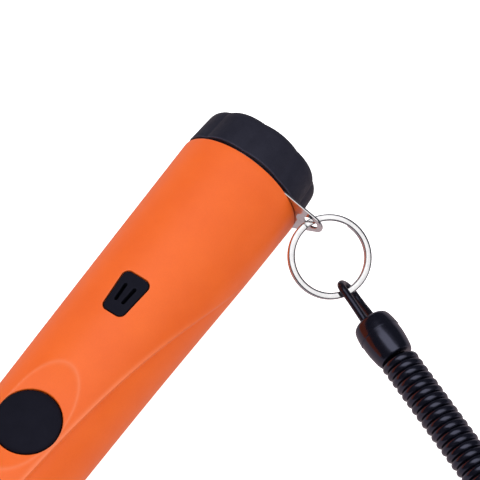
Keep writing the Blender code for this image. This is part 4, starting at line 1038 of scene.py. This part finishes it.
def build_pieces():
    paint_cad_nodes()
    show(housing_skin(), "probe", ORANGE, "grip_housing")
    show(grille_plug(), "probe", BUTTON_BLACK, "speaker_grille")
    show(probe_stem(), "probe", STEM_BLACK, "probe_stem")
    lamp_front = [(-2.6, 0.0), (-2.6, 2.8), (-2.45, LED_RADIUS), (-0.2, LED_RADIUS), (0.1, 2.85), (0.4, 2.4),
                  (0.62, 1.8), (0.78, 1.0), (0.85, 0.0)]
    show(lathe("lamp_lens", lamp_front, 64, led_matrix()), "probe", LENS, "led_lens")
    show(button_cap(), "button", BUTTON_BLACK, "power_button")
    show(cap_shell(), "cap", CAP_BLACK, "battery_cap")
    show(torus("cap_ring", 3.25, 16.2, 0.6), "cap", SEAL_RUBBER, "cap_seal")
    show(torus("stem_ring", HOUSING_END - 3.5, 9.98, 0.5), "probe", SEAL_RUBBER, "stem_seal")
    show(foam_pad(), "thrust_pad", FOAM, "battery_pad")
    show(lug_plate(), "lug", NICKEL, "lanyard_lug")
    show(split_ring(), "ring", NICKEL, "split_ring")
    show(cord_loop("near_cord", hairpin(1, 2.85, 3.2, NEAR_TWIST), CORD), "cord", RUBBER,
         "cord_loop")
    near = CORD @ Matrix.Translation((SLEEVE_START, 0.0, 0.0))
    show(sleeve("near_barrel", 1, near), "cord", GLOSS, "near_sleeve")
    show(sleeve("far_barrel", -1, FAR), "cord_end", GLOSS, "far_sleeve")
    loop = [(x + EYE_BAR, y, z) for x, y, z in hairpin(-1, 2.65, 2.65, FAR_TWIST)]
    show(cord_loop("far_cord", loop, FAR), "cord_end", RUBBER, "far_loop")
    show(swivel_eye(), "cord_end", NICKEL, "swivel_eye")
    show(hook_casting(), "hook", NICKEL, "hook_body")
    show(gate_rivet(), "hook", NICKEL, "gate_pin")
    show(spring_wire(), "hook", STEEL, "gate_spring")
    show(gate_lever(), "gate", NICKEL, "hook_gate")
    build_coil()


def build_coil():
    """The wound cord, with its material, in place of the CAD's coil, baked into world space."""
    made, share = coil()
    made.data.materials.append(GLOSS)
    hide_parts("coil_cord")
    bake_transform(made)


# ---------------- studio
def area_light(name, place, target, size, power):
    light = bpy.data.lights.new(name, "AREA")
    light.shape = "RECTANGLE"
    light.size = size[0]
    light.size_y = size[1]
    light.energy = power
    made = bpy.data.objects.new(name, light)
    bpy.context.scene.collection.objects.link(made)
    made.location = place
    made.rotation_euler = (Vector(target) - Vector(place)).to_track_quat("-Z", "Y").to_euler()
    return made


def surround():
    """White to the camera, even to matt surfaces, and dim round the horizon to glossy ones."""
    world = bpy.data.worlds.new("studio")
    bpy.context.scene.world = world
    world.use_nodes = True
    tree = world.node_tree
    place = tree.nodes.new("ShaderNodeTexCoord")
    split = tree.nodes.new("ShaderNodeSeparateXYZ")
    seen = tree.nodes.new("ShaderNodeLightPath")
    tree.links.new(place.outputs["Generated"], split.inputs[0])
    height = tree.nodes.new("ShaderNodeMapRange")
    height.inputs["From Min"].default_value = -1.0
    tree.links.new(split.outputs["Z"], height.inputs["Value"])

    def ramp(stops):
        made = tree.nodes.new("ShaderNodeValToRGB")
        made.color_ramp.elements.remove(made.color_ramp.elements[0])
        made.color_ramp.elements[0].position = (stops[0][0] + 1) / 2
        made.color_ramp.elements[0].color = (*stops[0][1], 1.0)
        for z, color in stops[1:]:
            made.color_ramp.elements.new((z + 1) / 2).color = (*color, 1.0)
        tree.links.new(height.outputs[0], made.inputs[0])
        return made.outputs[0]

    def switch(when, otherwise, then):
        mix = tree.nodes.new("ShaderNodeMix")
        mix.data_type = "RGBA"
        tree.links.new(seen.outputs[when], mix.inputs[0])
        connect(tree, mix.inputs[6], otherwise)
        connect(tree, mix.inputs[7], then)
        return mix.outputs[2]

    matt = ramp([(-0.6, (0.84, 0.84, 0.86)), (0.2, (0.97, 0.97, 0.99)), (0.9, (0.88, 0.88, 0.90))])
    mirrored = ramp([(-0.6, (0.52, 0.42, 0.44)), (-0.05, (0.38, 0.36, 0.40)), (0.05, (0.05, 0.05, 0.065)),
                     (0.75, (0.05, 0.05, 0.065)), (0.95, (0.35, 0.35, 0.38))])
    color = switch("Is Glossy Ray", matt, mirrored)
    color = switch("Is Camera Ray", color, (1.0, 1.0, 1.0, 1.0))
    tree.links.new(color, tree.nodes["Background"].inputs["Color"])


def studio():
    """A white floor, a soft surround, a softbox only for reflections and a key light only for the rest."""
    surround()
    middle = Vector((0.05, 0.05, 0.0))
    over = area_light("over", middle + Vector((0.02, 0.15, 0.60)), middle, (0.52, 1.15), 1.95)
    over.visible_diffuse = False
    key = area_light("key", middle + Vector((0.01, -0.25, 0.60)), middle, (0.5, 0.5), 0.6)
    key.visible_glossy = False
    top = cad_low.z / MM - 0.4
    floor = stacked("floor", [(disc(3000.0, 64), top - 5.0), (disc(3000.0, 64), top)])
    floor.visible_glossy = False
    floor.visible_diffuse = False
    s = Shader("paper")
    tone = s.mix(s.span(s.noise(60.0), 0.0, 1.0), (0.90, 0.90, 0.91), (0.93, 0.93, 0.94))
    s.feed(s.surface, Base_Color=tone, Roughness=0.8, Normal=s.bump(s.noise(0.8), 0.01),
           Emission_Color=(1.0, 1.0, 1.0, 1.0), Emission_Strength=0.9)
    floor.data.materials.append(s.material)
    bpy.context.scene.view_settings.view_transform = "Standard"


def camera():
    """The viewing angle: over the grip from the tip side, with the lanyard hanging to the right."""
    right = Vector((-0.56367, 0.82597, -0.00743))
    down = Vector((0.72401, 0.48972, -0.48579))
    forward = Vector((-0.39761, -0.27920, -0.87404))
    view = bpy.data.cameras.new("view")
    view.lens = 117.8
    view.sensor_width = 36.0
    view.clip_start = 0.01
    made = bpy.data.objects.new("view", view)
    bpy.context.scene.collection.objects.link(made)
    turn = Matrix((right, -down, -forward)).transposed().to_4x4()
    made.matrix_world = Matrix.Translation((0.209388, 0.137753, 0.398200)) @ turn
    bpy.context.scene.camera = made


build_pieces()
studio()
camera()
